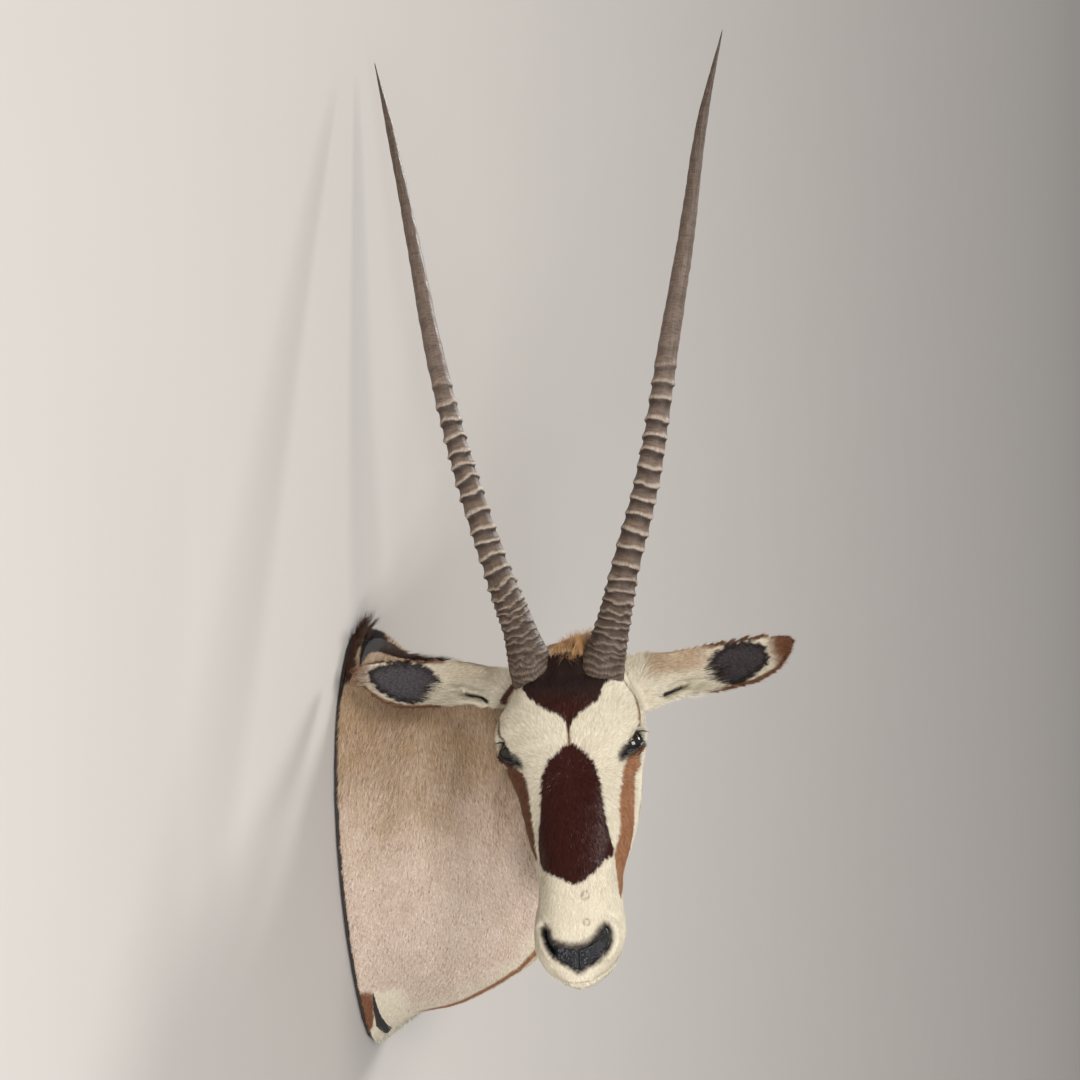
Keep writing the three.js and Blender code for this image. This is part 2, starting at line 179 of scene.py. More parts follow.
def build_room():
    """A one-sided wall, open behind the board, and a floor far below."""
    plaster = room_material("warm grey painted plaster, one-sided", "#bab5b0", True)
    pale = room_material("pale painted floor", "#d8d4ce", False)
    board = [(v.co.x, v.co.z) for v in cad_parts["backboard"].data.vertices]
    outline = [Vector(board[i]) for i in convex_hull_2d(board)]
    middle = sum(outline, Vector((0, 0))) / len(outline)
    inner = [middle + (p - middle) * OPENING for p in outline]
    y, left, right_end = WALL_GAP, ROOM["left"], ROOM["right"]
    floor, top, front = ROOM["floor"], ROOM["top"], ROOM["front"]
    wall = stage_plane(
        "wall", [(left, y, floor), (right_end, y, floor), (right_end, y, top), (left, y, top)],
        [(p.x, y, p.y) for p in inner], plaster)
    stage_plane("floor", [(left, front, floor), (right_end, front, floor),
                          (right_end, -front, floor), (left, -front, floor)], [], pale)
    shape = bmesh.new()
    shape.from_mesh(wall.data)
    shape.normal_update()
    bmesh.ops.reverse_faces(shape, faces=[f for f in shape.faces if f.normal.y > 0])
    shape.to_mesh(wall.data)
    shape.free()


build_room()

# ---------------------------------------------------------------- shapes of the form

HEAD_SECTIONS = [  # u, sideways shift, and half outline [v, w] from forehead round to jaw
    (-56, 0, [[0, -42], [20, -48], [32, -68], [26, -92], [0, -106]]),
    (-40, 0, [[0, -14], [34, -20], [54, -56], [44, -106], [0, -133]]),
    (0, 0, [[0, 0], [43, -5], [68, -45], [54, -115], [0, -155]]),
    (40, -3, [[0, 5], [52, -4], [85, -38], [60, -118], [0, -171]]),
    (85, -3, [[0, 4], [52, -6], [79, -38], [62, -113], [0, -170]]),
    (130, 0, [[0, 3], [40, -7], [69, -50], [55, -108], [0, -158]]),
    (185, 0, [[0, 2], [34, -7], [57, -45], [42, -95], [0, -132]]),
    (240, -4, [[0, 0], [31, -7], [48, -41], [35, -79], [0, -105]]),
    (280, -7, [[0, -1], [29, -7], [52, -38], [34, -70], [0, -92]]),
    (305, -9, [[0, -4], [30, -9], [49, -38], [38, -70], [0, -88]]),
    (325, -10, [[0, -11], [24, -18], [36, -41], [34, -67], [0, -83]]),
    (341, -10, [[0, -24], [12, -28], [18, -46], [18, -62], [0, -72]]),
]
HEAD_CAPS = [[-60, 0, -74], [349, -10, -49]]

# Middle, turn and rise in degrees, reach to crest, throat, left and right side, and how far
# crest and throat lean to the animal's right.
NECK_SECTIONS = [
    ([0, -4, 40], 0, 0, 200, 328, 150, 165, 74, 66),
    ([0, -40, 16], 0, 0, 194, 282, 150, 151, 12, 0),
    ([0, -110, 4], 4, 0, 188, 249, 144, 142, 12, 0),
    ([2, -172, 8], 20, 4, 178, 206, 132, 122, 12, 0),
    ([-8, -226, 42], 42, 12, 150, 158, 112, 100, 12, 0),
    ([-35, -262, 82], 60, 20, 126, 138, 90, 84, 12, 0),
    ([-75, -285, 112], 74, 22, 102, 108, 70, 70, 12, 0),
    ([-112, -293, 128], 80, 20, 70, 76, 46, 48, 12, 0),
]

# Ears from root to tip: distance out from the face's middle, u of the middle, half width,
# w of the rim, and how far the front and the back stand from it.
LEFT_EAR = np.array([
    [62, -5, 37, -72, 14, -20], [92, -7, 35, -70, 9, -23], [112, -12, 29, -70, -3, -24],
    [138, -15, 29, -71, -13, -22], [162, -17, 31, -72, -14, -20], [188, -20, 30, -72, -12, -17],
    [214, -23, 29, -71, -8, -13], [240, -29, 23, -69, -3.5, -8.5], [255, -36, 14, -67, -1, -6],
], float)
RIGHT_EAR = np.array([
    [-62, -12, 24, -72, 14, -20], [-90, -16, 25, -70, 9, -23], [-106, -20, 25, -70, -3, -24],
    [-134, -26, 28, -71, -13, -22], [-166, -28, 31, -72, -14, -20],
    [-208, -31, 31, -72, -10, -15.5], [-232, -36, 27, -70, -5.5, -11],
    [-248, -41, 20, -68, -2, -8], [-261, -48, 10, -66, -1, -6],
], float)
EARS = ((1, LEFT_EAR, [-43, 264, -68]), (-1, RIGHT_EAR, [-54, -270, -67]))

EYE_RADIUS = 18
SOCKET_RADIUS = 15.5  # of the hollow in the hide behind the glass
# An eye's middle, the way it looks, and the way from its outer to its inner corner, for the
# left eye; the right one is the mirror image.
EYE_LOOK = np.array([0.05, 0.84, 0.54])
EYE_SLIT = np.array([0.64, -0.46, 0.62])
EYES = {"left": (1, np.array([75, 61.5, -41.0])), "right": (-1, np.array([75, -70, -41.0]))}


def to_head(points):
    """Places in metres as u, v and w."""
    return (points - HEAD) @ HEAD_AXES.T / MM


def from_head(places):
    """Places given as u, v and w, in metres."""
    return HEAD + np.asarray(places, float) * MM @ HEAD_AXES


def unit(vectors):
    return vectors / np.maximum(np.linalg.norm(vectors, axis=-1, keepdims=True), 1e-9)


def smooth(low, high, value):
    """0 up to low and 1 past high, with a smooth step between; low may be the larger one."""
    share = np.clip((value - low) / (high - low), 0, 1)
    return share * share * (3 - 2 * share)


def hump(value, width):
    """A bell of height 1 that has fallen to a third at width."""
    return np.exp(-np.square(value / width))


def ripple(points, size, seed):
    """Smooth noise from about -1 to 1, with lumps as large as size, the same on every run."""
    chance = np.random.default_rng(seed)
    waves = unit(chance.normal(size=(10, 3))) * chance.uniform(0.45, 1.3, (10, 1))
    phase = chance.uniform(0, 2 * math.pi, 10)
    return np.sin(points @ waves.T * (2 * math.pi / size) + phase).sum(axis=1) / 3.2


def spline(points, shares, closed=False):
    """Places on the smooth curve through the points, at shares of it from 0 to 1."""
    points = np.asarray(points, float)
    count = len(points)
    place = np.asarray(shares, float) * (count if closed else count - 1)
    first = np.minimum(place.astype(int), count - (1 if closed else 2))
    weight = (place - first)[:, None]
    ends = points[[-1, 0, 1]] if closed else None
    before = ends[0] if closed else 2 * points[0] - points[1]
    after = ends[1:] if closed else [2 * points[-1] - points[-2]]
    padded = np.vstack([[before], points, after])
    p0, p1, p2, p3 = (padded[first + k] for k in range(4))
    d0, d1, d2 = (np.maximum(np.linalg.norm(b - a, axis=1, keepdims=True), 1e-9) ** 0.5
                  for a, b in ((p0, p1), (p1, p2), (p2, p3)))
    t1 = ((p1 - p0) / d0 - (p2 - p0) / (d0 + d1) + (p2 - p1) / d1) * d1
    t2 = ((p2 - p1) / d1 - (p3 - p1) / (d1 + d2) + (p3 - p2) / d2) * d1
    bend2 = -3 * p1 + 3 * p2 - 2 * t1 - t2
    bend3 = 2 * p1 - 2 * p2 + t1 + t2
    return p1 + t1 * weight + bend2 * weight ** 2 + bend3 * weight ** 3


def edge_distance(points, line, closed=False):
    """Distance from each point to a line through the given corners, and, where it is a closed
    outline in a plane, whether the point is inside it."""
    line = np.asarray(line, float)
    nearest = np.full(len(points), np.inf)
    inside = np.zeros(len(points), bool)
    ends = np.roll(line, -1, axis=0) if closed else line[1:]
    for start, end in zip(line, ends):
        edge = end - start
        reach = points - start
        along = np.clip(reach @ edge / max(edge @ edge, 1e-12), 0, 1)
        off = reach - along[:, None] * edge
        nearest = np.minimum(nearest, (off * off).sum(axis=1))
        if closed and edge[1]:
            crosses = (start[1] > points[:, 1]) != (end[1] > points[:, 1])
            at = start[0] + (points[:, 1] - start[1]) * edge[0] / edge[1]
            inside ^= crosses & (points[:, 0] < at)
    return np.sqrt(nearest), inside


OUTSIDE = -99.0  # the depth inside an outline that stands for far from it


def inside_by(points, outline, steps=4):
    """How far each point lies inside a rounded outline; outside is negative."""
    outline = np.asarray(outline, float)
    corners = spline(outline, np.arange(len(outline) * steps) / (len(outline) * steps), True)
    depth = np.full(len(points), OUTSIDE)
    low, high = outline.min(axis=0) - 15, outline.max(axis=0) + 15
    close = ((points > low) & (points < high)).all(axis=1)
    distance, inside = edge_distance(points[close], corners, True)
    depth[close] = np.where(inside, distance, -distance)
    return depth


# ---------------------------------------------------------------- mesh helpers

def select_only(*pieces):
    bpy.ops.object.select_all(action="DESELECT")
    for piece in pieces:
        piece.select_set(True)
    bpy.context.view_layer.objects.active = pieces[0]


def grid_piece(name, places):
    """A sheet with a row of points for each row of places."""
    rows, columns = places.shape[:2]
    bpy.ops.object.select_all(action="DESELECT")
    bpy.ops.mesh.primitive_grid_add(x_subdivisions=columns - 1, y_subdivisions=rows - 1, size=1)
    piece = bpy.context.object
    piece.name = piece.data.name = name
    move_to(piece, places.reshape(-1, 3))
    return piece


def clean_mesh(merge, outwards):
    """Joins the doubled points of the active piece and turns its faces outwards."""
    bpy.ops.object.mode_set(mode="EDIT")
    bpy.ops.mesh.select_all(action="SELECT")
    if merge:
        bpy.ops.mesh.remove_doubles(threshold=1e-6)
    if outwards:
        bpy.ops.mesh.normals_make_consistent(inside=False)
    bpy.ops.object.mode_set(mode="OBJECT")


def tube(name, rings, first, last):
    """A closed skin: a grid wrapped round the rings and drawn to a point at each end."""
    rings = np.asarray(rings)
    places = np.empty((len(rings) + 2, rings.shape[1] + 1, 3))
    places[0], places[-1] = first, last
    places[1:-1, :-1], places[1:-1, -1] = rings, rings[:, 0]
    piece = grid_piece(name, places)
    clean_mesh(merge=True, outwards=True)
    return piece


def loft(name, sections, caps, around, along):
    """A tube that runs smoothly through closed sections, with a cap point at each end."""
    sections = np.asarray(sections, float)
    shares = np.linspace(0, 1, along + 1)
    lines = np.stack([spline(sections[:, k], shares) for k in range(sections.shape[1])], axis=1)
    turns = np.arange(around) / around
    return tube(name, [spline(line, turns, True) for line in lines], *caps)


def coordinates(mesh):
    co = np.empty(len(mesh.vertices) * 3, np.float32)
    mesh.vertices.foreach_get("co", co)
    return co.reshape(-1, 3).astype(float)


def vertex_normals(mesh):
    normals = np.empty(len(mesh.vertices) * 3, np.float32)
    mesh.vertex_normals.foreach_get("vector", normals)
    return normals.reshape(-1, 3).astype(float)


def skin_tree(piece):
    """A piece's triangles, ready to be asked for the nearest one to a place."""
    return BVHTree.FromPolygons(coordinates(piece.data).tolist(), triangles(piece.data).tolist())


def triangles(mesh):
    mesh.calc_loop_triangles()
    corners = np.empty(len(mesh.loop_triangles) * 3, np.int32)
    mesh.loop_triangles.foreach_get("vertices", corners)
    return corners.reshape(-1, 3)


def move_to(piece, places):
    piece.data.vertices.foreach_set("co", np.asarray(places, np.float32).ravel())
    piece.data.update()


def apply_modifier(piece, kind, **settings):
    select_only(piece)
    modifier = piece.modifiers.new("step", kind)
    for name, value in settings.items():
        setattr(modifier, name, value)
    bpy.ops.object.modifier_apply(modifier="step")


def smooth_shading(piece):
    piece.data.polygons.foreach_set("use_smooth", np.ones(len(piece.data.polygons), bool))
    piece.data.update()


def finish_piece(piece, slot, material, *replaced):
    """Gives a piece its material and body, and hides the CAD nodes that it stands for. slot is not
    used.
    """
    piece.data.materials.clear()
    piece.data.materials.append(material)
    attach(piece, "root")
    if replaced:
        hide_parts(*replaced)


# ---------------------------------------------------------------- the form under the hide

def half_ring(half):
    """A half outline of the head made whole by its mirror image."""
    return half + [[-side, up] for side, up in half[3:0:-1]]


def neck_frame(section):
    """Middle, side and up of a neck section, in metres and as unit vectors."""
    middle, turn_by, rise_by = section[0], math.radians(section[1]), math.radians(section[2])
    side = np.array([math.cos(turn_by), -math.sin(turn_by), 0])
    up = np.array([math.sin(turn_by) * math.sin(rise_by), math.cos(turn_by) * math.sin(rise_by),
                   math.cos(rise_by)])
    return np.array(middle) * MM, side, up


def neck_ring(section):
    """The outline of the neck at a section."""
    crest, throat, east, west, crest_lean, throat_lean = section[3:]
    middle, side, up = neck_frame(section)
    outline = [[-crest_lean, crest], [0.76 * east, 0.64 * crest], [east, 0],
               [0.81 * east, -0.66 * throat], [-throat_lean, -throat],
               [-0.81 * west, -0.66 * throat], [-west, 0], [-0.8 * west, 0.72 * crest]]
    return [middle + (a * side + b * up) * MM for a, b in outline]


def neck_line(reach, lean, sign, aside, short):
    """A line along the neck near its crest (sign 1) or throat (sign -1), from the wall to the
    head. reach and lean are places in a section, aside is the line's distance from them, one
    for all sections or one for each, and short is how far it lies inside the form."""
    points = []
    for section, out in zip(NECK_SECTIONS, np.broadcast_to(aside, len(NECK_SECTIONS))):
        middle, side, up = neck_frame(section)
        across = -(section[lean] + out) * side
        points.append(middle + (across + sign * (section[reach] - short) * up) * MM)
    return spline(points, np.linspace(0, 1, 29))


CREST, THROAT, CREST_LEAN, THROAT_LEAN = 3, 4, 7, 8  # places in a row of NECK_SECTIONS
CREST_LINE = neck_line(CREST, CREST_LEAN, 1, aside=0, short=0)
FAR_CREST = neck_line(CREST, CREST_LEAN, 1, aside=-24, short=2)
FARTHEST_CREST = neck_line(CREST, CREST_LEAN, 1, aside=-48, short=5)
THROAT_LINE = neck_line(THROAT, THROAT_LEAN, -1, aside=(28, 28, 24, 6, -4, -8, -8, -8), short=1)


def ear_sections(side, rows):
    """The outlines of an ear from root to tip."""
    sections = []
    for v, u, half, rim, front, rear in rows:
        ring = [[0, front], [0.6, 0.62 * front], [1, 0], [0.62, 0.72 * rear], [0, rear],
                [-0.62, 0.72 * rear], [-1, 0], [-0.6, 0.62 * front]]
        sections.append(from_head([[u - side * across * half, v, rim + out]
                                   for across, out in ring]))
    return sections


def plain_form():
    """Head, neck and ears as smooth closed skins, joined into one by a voxel remesh."""
    head = [from_head([[u, v + shift, w] for v, w in half_ring(half)])
            for u, shift, half in HEAD_SECTIONS]
    pieces = [loft("hide", head, from_head(HEAD_CAPS), around=72, along=96)]
    neck = [neck_ring(section) for section in NECK_SECTIONS]
    caps = [np.array(NECK_SECTIONS[k][0]) * MM for k in (0, -1)]
    pieces.append(loft("neck", neck, caps, around=96, along=72))
    for side, rows, tip in EARS:
        cap = from_head([[rows[0][1], rows[0][0], rows[0][3]], tip])
        pieces.append(loft("ear", ear_sections(side, rows), cap, around=64, along=72))
    select_only(*pieces)
    bpy.ops.object.join()
    return pieces[0]


VOXEL = 2.4 * MM
NECK_SHARE = 0.42  # of the neck's triangles that stay, so that the hide has under 200,000


def weights_group(piece, name, weights):
    """A vertex group with the weights, in steps of a tenth."""
    group = piece.vertex_groups.new(name=name)
    for level in range(1, 11):
        chosen = np.nonzero(np.round(weights * 10) == level)[0].tolist()
        if chosen:
            group.add(chosen, level / 10, "REPLACE")
    return name


def relax_and_thin(piece):
    """Rounds the joins between head, neck and ears, and coarsens the neck's mesh."""
    apply_modifier(piece, "REMESH", mode="VOXEL", voxel_size=VOXEL, adaptivity=0)
    u, v, w = to_head(coordinates(piece.data)).T
    on_ear = smooth(88, 104, np.abs(v)) * (w > -100) * (u < 30)
    on_neck = smooth(-100, -118, w) * (1 - on_ear)
    relaxed = weights_group(piece, "relaxed", 1 - 0.75 * on_ear)
    apply_modifier(piece, "SMOOTH", factor=0.5, iterations=14, vertex_group=relaxed)
    coarse = weights_group(piece, "coarse", on_neck)
    apply_modifier(piece, "DECIMATE", ratio=NECK_SHARE, vertex_group=coarse)
    piece.vertex_groups.clear()


def refine(piece, chosen_by):
    """Splits the edges of the faces whose middles chosen_by takes, in head millimetres."""
    shape = bmesh.new()
    shape.from_mesh(piece.data)
    middles = to_head(np.array([f.calc_center_median() for f in shape.faces]))
    chosen = chosen_by(*middles.T)
    edges = {e for f, take in zip(shape.faces, chosen) if take for e in f.edges}
    bmesh.ops.subdivide_edges(shape, edges=list(edges), cuts=1, use_grid_fill=True)
    bmesh.ops.triangulate(shape, faces=[f for f in shape.faces if len(f.verts) > 3])
    shape.to_mesh(piece.data)
    shape.free()


# ---------------------------------------------------------------- creases, lids, nose and lips

NOSE_PAD = [[283, -45], [285, -41], [297, -36], [304, -24], [307, -8], [304, 7], [297, 17],
            [288, 23], [286, 27], [293, 30], [304, 28], [316, 19], [324, 9], [328, 0],
            [332, -8], [327, -15], [321, -25], [312, -36], [302, -42], [292, -45]]
LIPS_MIDDLE = -9.5
MOUTH_HALF = [[341, 0, -30], [338, 14, -33], [331, 25, -42], [318, 33, -52], [300, 38, -59],
              [276, 43, -64]]  # v from the middle of the lips
# Lines along the skin: how deep and how wide each is pressed in, and its corners.
CREASES = {
    "nostril": (8.5, 3.3, ([[277, -46, -18], [283, -44, -14], [297, -42, -11], [308, -35, -9]],
                           [[280, 27, -12], [289, 32, -17], [302, 31, -18], [312, 25, -17]])),
    "philtrum": (0.8, 1.4, ([[309, -6.5, -5], [321, -7.5, -11], [331, -8, -18]],)),
    "mouth": (2.0, 1.5, tuple([[u, LIPS_MIDDLE + side * v, w] for u, v, w in MOUTH_HALF]
                              for side in (1, -1))),
    "temple": (1.4, 2.0, ([[-2, 60, -27], [7, 68, -34], [20, 76, -36], [36, 80, -29],
                           [56, 80, -29]],
                          [[-16, -70, -57], [-5, -79, -59], [3, -86, -58], [13, -90, -50],
                           [25, -91, -39], [38, -90, -31], [50, -87, -27], [60, -83, -27]])),
    "ear_slit": (7.0, 2.8, ([[11, 104, -68], [8, 111, -70], [5, 117, -72], [1, 127, -76]],
                            [[2, -103, -70], [-6, -112, -74], [-10, -122, -77],
                             [-15, -133, -80]])),
}
pressed = {}  # for each crease, its lines on the skin before and after they are pressed in


def lay_creases(piece):
    """Moves the lines of the creases onto the skin."""
    tree = skin_tree(piece)
    for name, (depth, _, lines) in CREASES.items():
        pressed[name] = []
        for line in lines:
            corners = from_head(spline(line, np.linspace(0, 1, 3 * len(line))))
            found = [tree.find_nearest(corner) for corner in corners]
            on_skin = np.array([hit[0][:] for hit in found])
            normals = np.array([hit[1][:] for hit in found])
            sunk = to_head(on_skin - normals * depth * MM)
            pressed[name].append((to_head(on_skin), sunk))


def settle_creases(piece):
    """Moves the pressed-in lines of the creases onto the finished skin."""
    tree = skin_tree(piece)
    for pairs in pressed.values():
        for k, (before, sunk) in enumerate(pairs):
            settled = [tree.find_nearest(place)[0][:] for place in from_head(sunk)]
            pairs[k] = (before, to_head(np.array(settled)))


def crease_distance(name, head, sunk=True):
    """Distance to the nearest line of a crease, pressed in or as it lay before."""
    lines = [pair[1 if sunk else 0] for pair in pressed[name]]
    return np.minimum.reduce([edge_distance(head, line)[0] for line in lines])


def eye_frame(name):
    """An eye's middle and its axes: inner corner, up the face, and outwards."""
    side, middle = EYES[name]
    mirror = np.array([1, side, 1])
    look = unit(EYE_LOOK * mirror)
    slit = unit(EYE_SLIT * mirror - (EYE_SLIT * mirror) @ look * look)
    up = np.cross(slit, look) * side
    return middle, np.array([slit, up, look])


def in_eye(name, head):
    """Places seen from an eye's middle, along its axes."""
    middle, axes = eye_frame(name)
    return (head - middle) @ axes.T


def sculpt(piece):
    """Presses in creases and hollows, raises brow and ridges, and leaves room for the eyes."""
    places = coordinates(piece.data)
    normals = vertex_normals(piece.data)
    head = to_head(places)
    u, v, w = head.T
    wide = np.abs(v)
    front = smooth(-100, -80, w)
    rise = 3.0 * hump(u - 50, 20) * hump(wide - 80, 14) * front  # brow
    rise -= 4.0 * hump(u - 58, 24) * smooth(72, 82, v) * front  # flat left temple
    rise -= 3.0 * hump(u - 100, 13) * hump(wide - 62, 8) * front  # hollow before the eye
    rise += 1.8 * hump(wide - 60, 9) * smooth(105, 130, u) * smooth(215, 170, u) * front
    rise -= 1.6 * hump(wide - 46, 8) * smooth(120, 150, u) * smooth(250, 210, u) * front
    rise -= 3.5 * hump(u + 9, 12) * hump(wide - 23, 8) * front  # inner feet of the horns
    rise += 3.0 * hump(u - 8, 9) * hump(wide - 48, 13) * front  # outer feet of the horns
    rise -= 0.9 * hump(v + 1, 3) * smooth(30, 50, u) * smooth(86, 76, u) * front
    rise += 0.35 * ripple(head, 24, 3) * front
    rise += 2.5 * hump(u - 287, 9) * hump(v - 50, 9) * front  # wing of the left nostril
    near_nose = (u > 250) & (w > -85)
    for name, (depth, width, _) in CREASES.items():
        reach = crease_distance(name, head, False)
        rise -= depth * hump(reach, width)
        rise += 0.25 * depth * hump(reach - 2.4 * width, 1.3 * width) * (depth > 2.1)
    pad = inside_by(head[:, :2], NOSE_PAD) * near_nose
    rise += 1.1 * smooth(-1.0, 2.0, pad) * (w > -60) * near_nose
    neck_part = smooth(-95, -125, w)
    upright = places / MM * [1, 1, 0.12]
    by_the_face = smooth(-0.13, -0.2, places[:, 1]) * smooth(0.12, 0.02, places[:, 2])
    rise += neck_part * (0.9 * ripple(places / MM, 85, 5) + 0.25 * ripple(places / MM, 22, 6))
    rise += neck_part * by_the_face * 0.8 * ripple(upright, 17, 7)
    crest = np.minimum.reduce([edge_distance(places / MM, line / MM)[0]
                               for line in (CREST_LINE, FAR_CREST, FARTHEST_CREST)])
    deeper = 6.5 + 5.0 * smooth(-0.09, -0.05, places[:, 1])
    rise -= deeper * hump(crest, 28) * smooth(-0.006, -0.018, places[:, 1]) * neck_part
    rise *= smooth(-0.004, -0.012, places[:, 1])
    places = places + normals * rise[:, None] * MM
    head = to_head(places)
    for name in EYES:
        local = in_eye(name, head)
        off = np.hypot(local[:, 0], local[:, 1])
        sunk = np.sqrt(np.maximum(SOCKET_RADIUS ** 2 - off ** 2, 0))
        share = smooth(22, 17, off) * (local[:, 2] > -4)
        target = local[:, 2] * (1 - share) + np.minimum(local[:, 2], sunk) * share
        head += (target - local[:, 2])[:, None] * eye_frame(name)[1][2]
    move_to(piece, from_head(head))


def build_hide():
    """The skin of neck, head and ears as one closed mesh."""
    piece = plain_form()
    relax_and_thin(piece)
    refine(piece, lambda u, v, w: (u > 262) & (w > -75))
    refine(piece, lambda u, v, w: (np.abs(v) > 98) & (np.abs(v) < 140) & (u > -30)
           & (u < 40) & (w > -90))
    lay_creases(piece)
    sculpt(piece)
    settle_creases(piece)
    smooth_shading(piece)
    return piece


# ---------------------------------------------------------------- markings of the coat

CROWN_PATCH = [[-34, -24], [-14, -54], [2, -54], [12, -49], [28, -34], [36, -21], [43, -9],
               [53, -4], [61, -1], [52, 3], [46, 8], [35, 21], [25, 36], [9, 43], [0, 51],
               [-14, 52], [-34, 24]]
BLAZE = [[75, 1], [79, -8], [85, -15], [93, -25], [105, -32], [120, -37], [137, -40],
         [156, -45], [176, -52], [196, -57], [211, -53], [224, -31], [234, -14], [237, -4],
         [232, 8], [221, 23], [212, 31], [205, 44], [197, 44], [177, 37], [152, 34], [130, 32],
         [110, 28], [95, 23], [86, 15], [80, 9]]  # u and wrap
STRIPE = [[76, 84], [86, 71], [100, 62], [110, 58], [127, 56], [155, 56], [176, 56],
          [191, 52], [203, 46], [215, 48], [232, 52], [250, 60], [240, 74], [214, 82],
          [190, 86], [170, 84], [150, 82], [122, 79], [108, 82], [96, 90], [84, 98],
          [72, 98]]  # u and wrap
RIGHT_STRIPE = [[76, -86], [90, -71], [102, -62], [113, -56], [129, -57], [145, -60],
                [167, -62], [184, -63], [203, -66], [196, -76], [180, -84], [160, -88],
                [130, -92], [104, -100], [84, -100], [72, -98]]
JAW_LINE = [[74, 118], [100, 118], [150, 124], [205, 140]]  # u and wrap, on either side
LID_OUTLINE = [[-18.5, 7], [-13, 11.8], [-4, 12.8], [6, 12.2], [14, 10.4], [22, 7.6],
               [30, 4.4], [30, 2.4], [22, 0], [13, -1.2], [0, -2.2], [-11, -1], [-17.5, 3]]
BLEMISHES = ((250, 6, 4.2), (279, 6, 3.4))  # old ring scars on the nose: u, v, radius
PATCH_LEFT_EAR = [[-20, 158], [-35, 168], [-46, 187], [-47, 213], [-39, 230], [-21, 234],
                  [-3, 215], [6, 191], [-1, 172], [-9, 157]]
PATCH_RIGHT_EAR = [[-50, -250], [-57, -236], [-60, -212], [-54, -183], [-36, -166],
                   [-22, -165], [-8, -183], [-7, -205], [-14, -224], [-32, -246]]
CREST_BANDS = (  # each line of the crest, and the dark band's half width at places along Y
    (CREST_LINE, [-0.12, -0.08, -0.05, -0.024, 0], [-3, 9, 20, 15, 9]),
    (FAR_CREST, [-0.12, -0.08, -0.05], [-3, 14, 22]),
    (FARTHEST_CREST, [-0.08, -0.05], [-6, 12]),
)
COAT_PARTS = ("tan", "nape", "rust", "maroon", "umber", "charcoal", "bare", "mottle")


def wrap_of(v, w):
    """Distance round the face from its middle, in millimetres."""
    return 75 * np.arctan2(v, w + 75)


def face_share(v, w, back=-122):
    """1 on the head, and 0 on the neck behind it."""
    return smooth(back, back + 24, w) * smooth(114, 102, np.abs(v))


def ear_place(u, v, w):
    """Where a point lies on its ear: across from -1 to 1, and 1 on the ear and 0 elsewhere."""
    across, share = np.zeros_like(u), np.zeros_like(u)
    for side, rows, tip in EARS:
        out_from = side * v
        order = side * rows[:, 0]
        half = np.interp(out_from, order, rows[:, 2])
        away = (np.interp(out_from, order, rows[:, 1]) - u) / half
        rim, before, behind = (np.interp(out_from, order, rows[:, k]) for k in (3, 4, 5))
        here = ((out_from > 60) & (out_from < side * tip[1] + 6) & (np.abs(away) < 1.25)
                & (w > rim + behind - 5) & (w < rim + np.maximum(before, 0) + 7))
        across = np.where(here, away, across)
        share = np.where(here, smooth(78, 100, out_from), share)
    return across, share


def lid_skin(head):
    """How far a point lies inside the bare dark skin round either eye, in millimetres, and how
    much it belongs to the lower lid or the inner corner, where the hair is dark too."""
    depth, lower = np.full(len(head), OUTSIDE), np.zeros(len(head))
    for name in EYES:
        a, b, c = in_eye(name, head).T
        here = np.where(c > 0, inside_by(np.stack([a, b], axis=1), LID_OUTLINE), OUTSIDE)
        lower = np.where(here > depth, np.maximum(smooth(6, -2, b), smooth(12, 22, a)), lower)
        depth = np.maximum(depth, here)
    return depth, lower


def dark_crest(points, jag):
    """How much a point belongs to the dark hair along the crest and up the wall's edge."""
    inside = np.minimum.reduce([
        edge_distance(points / MM, line / MM)[0] - np.interp(points[:, 1], from_wall, half_width)
        for line, from_wall, half_width in CREST_BANDS])
    edge = np.interp(points[:, 2], [0.13, 0.2], [0.001, 0.008])
    by_wall = smooth(-0.001, 0.001, points[:, 1] + edge) * (points[:, 0] < 0)
    along_crest = smooth(3, -3, inside + jag)
    return np.maximum(along_crest, by_wall * (points[:, 2] > 0.1))


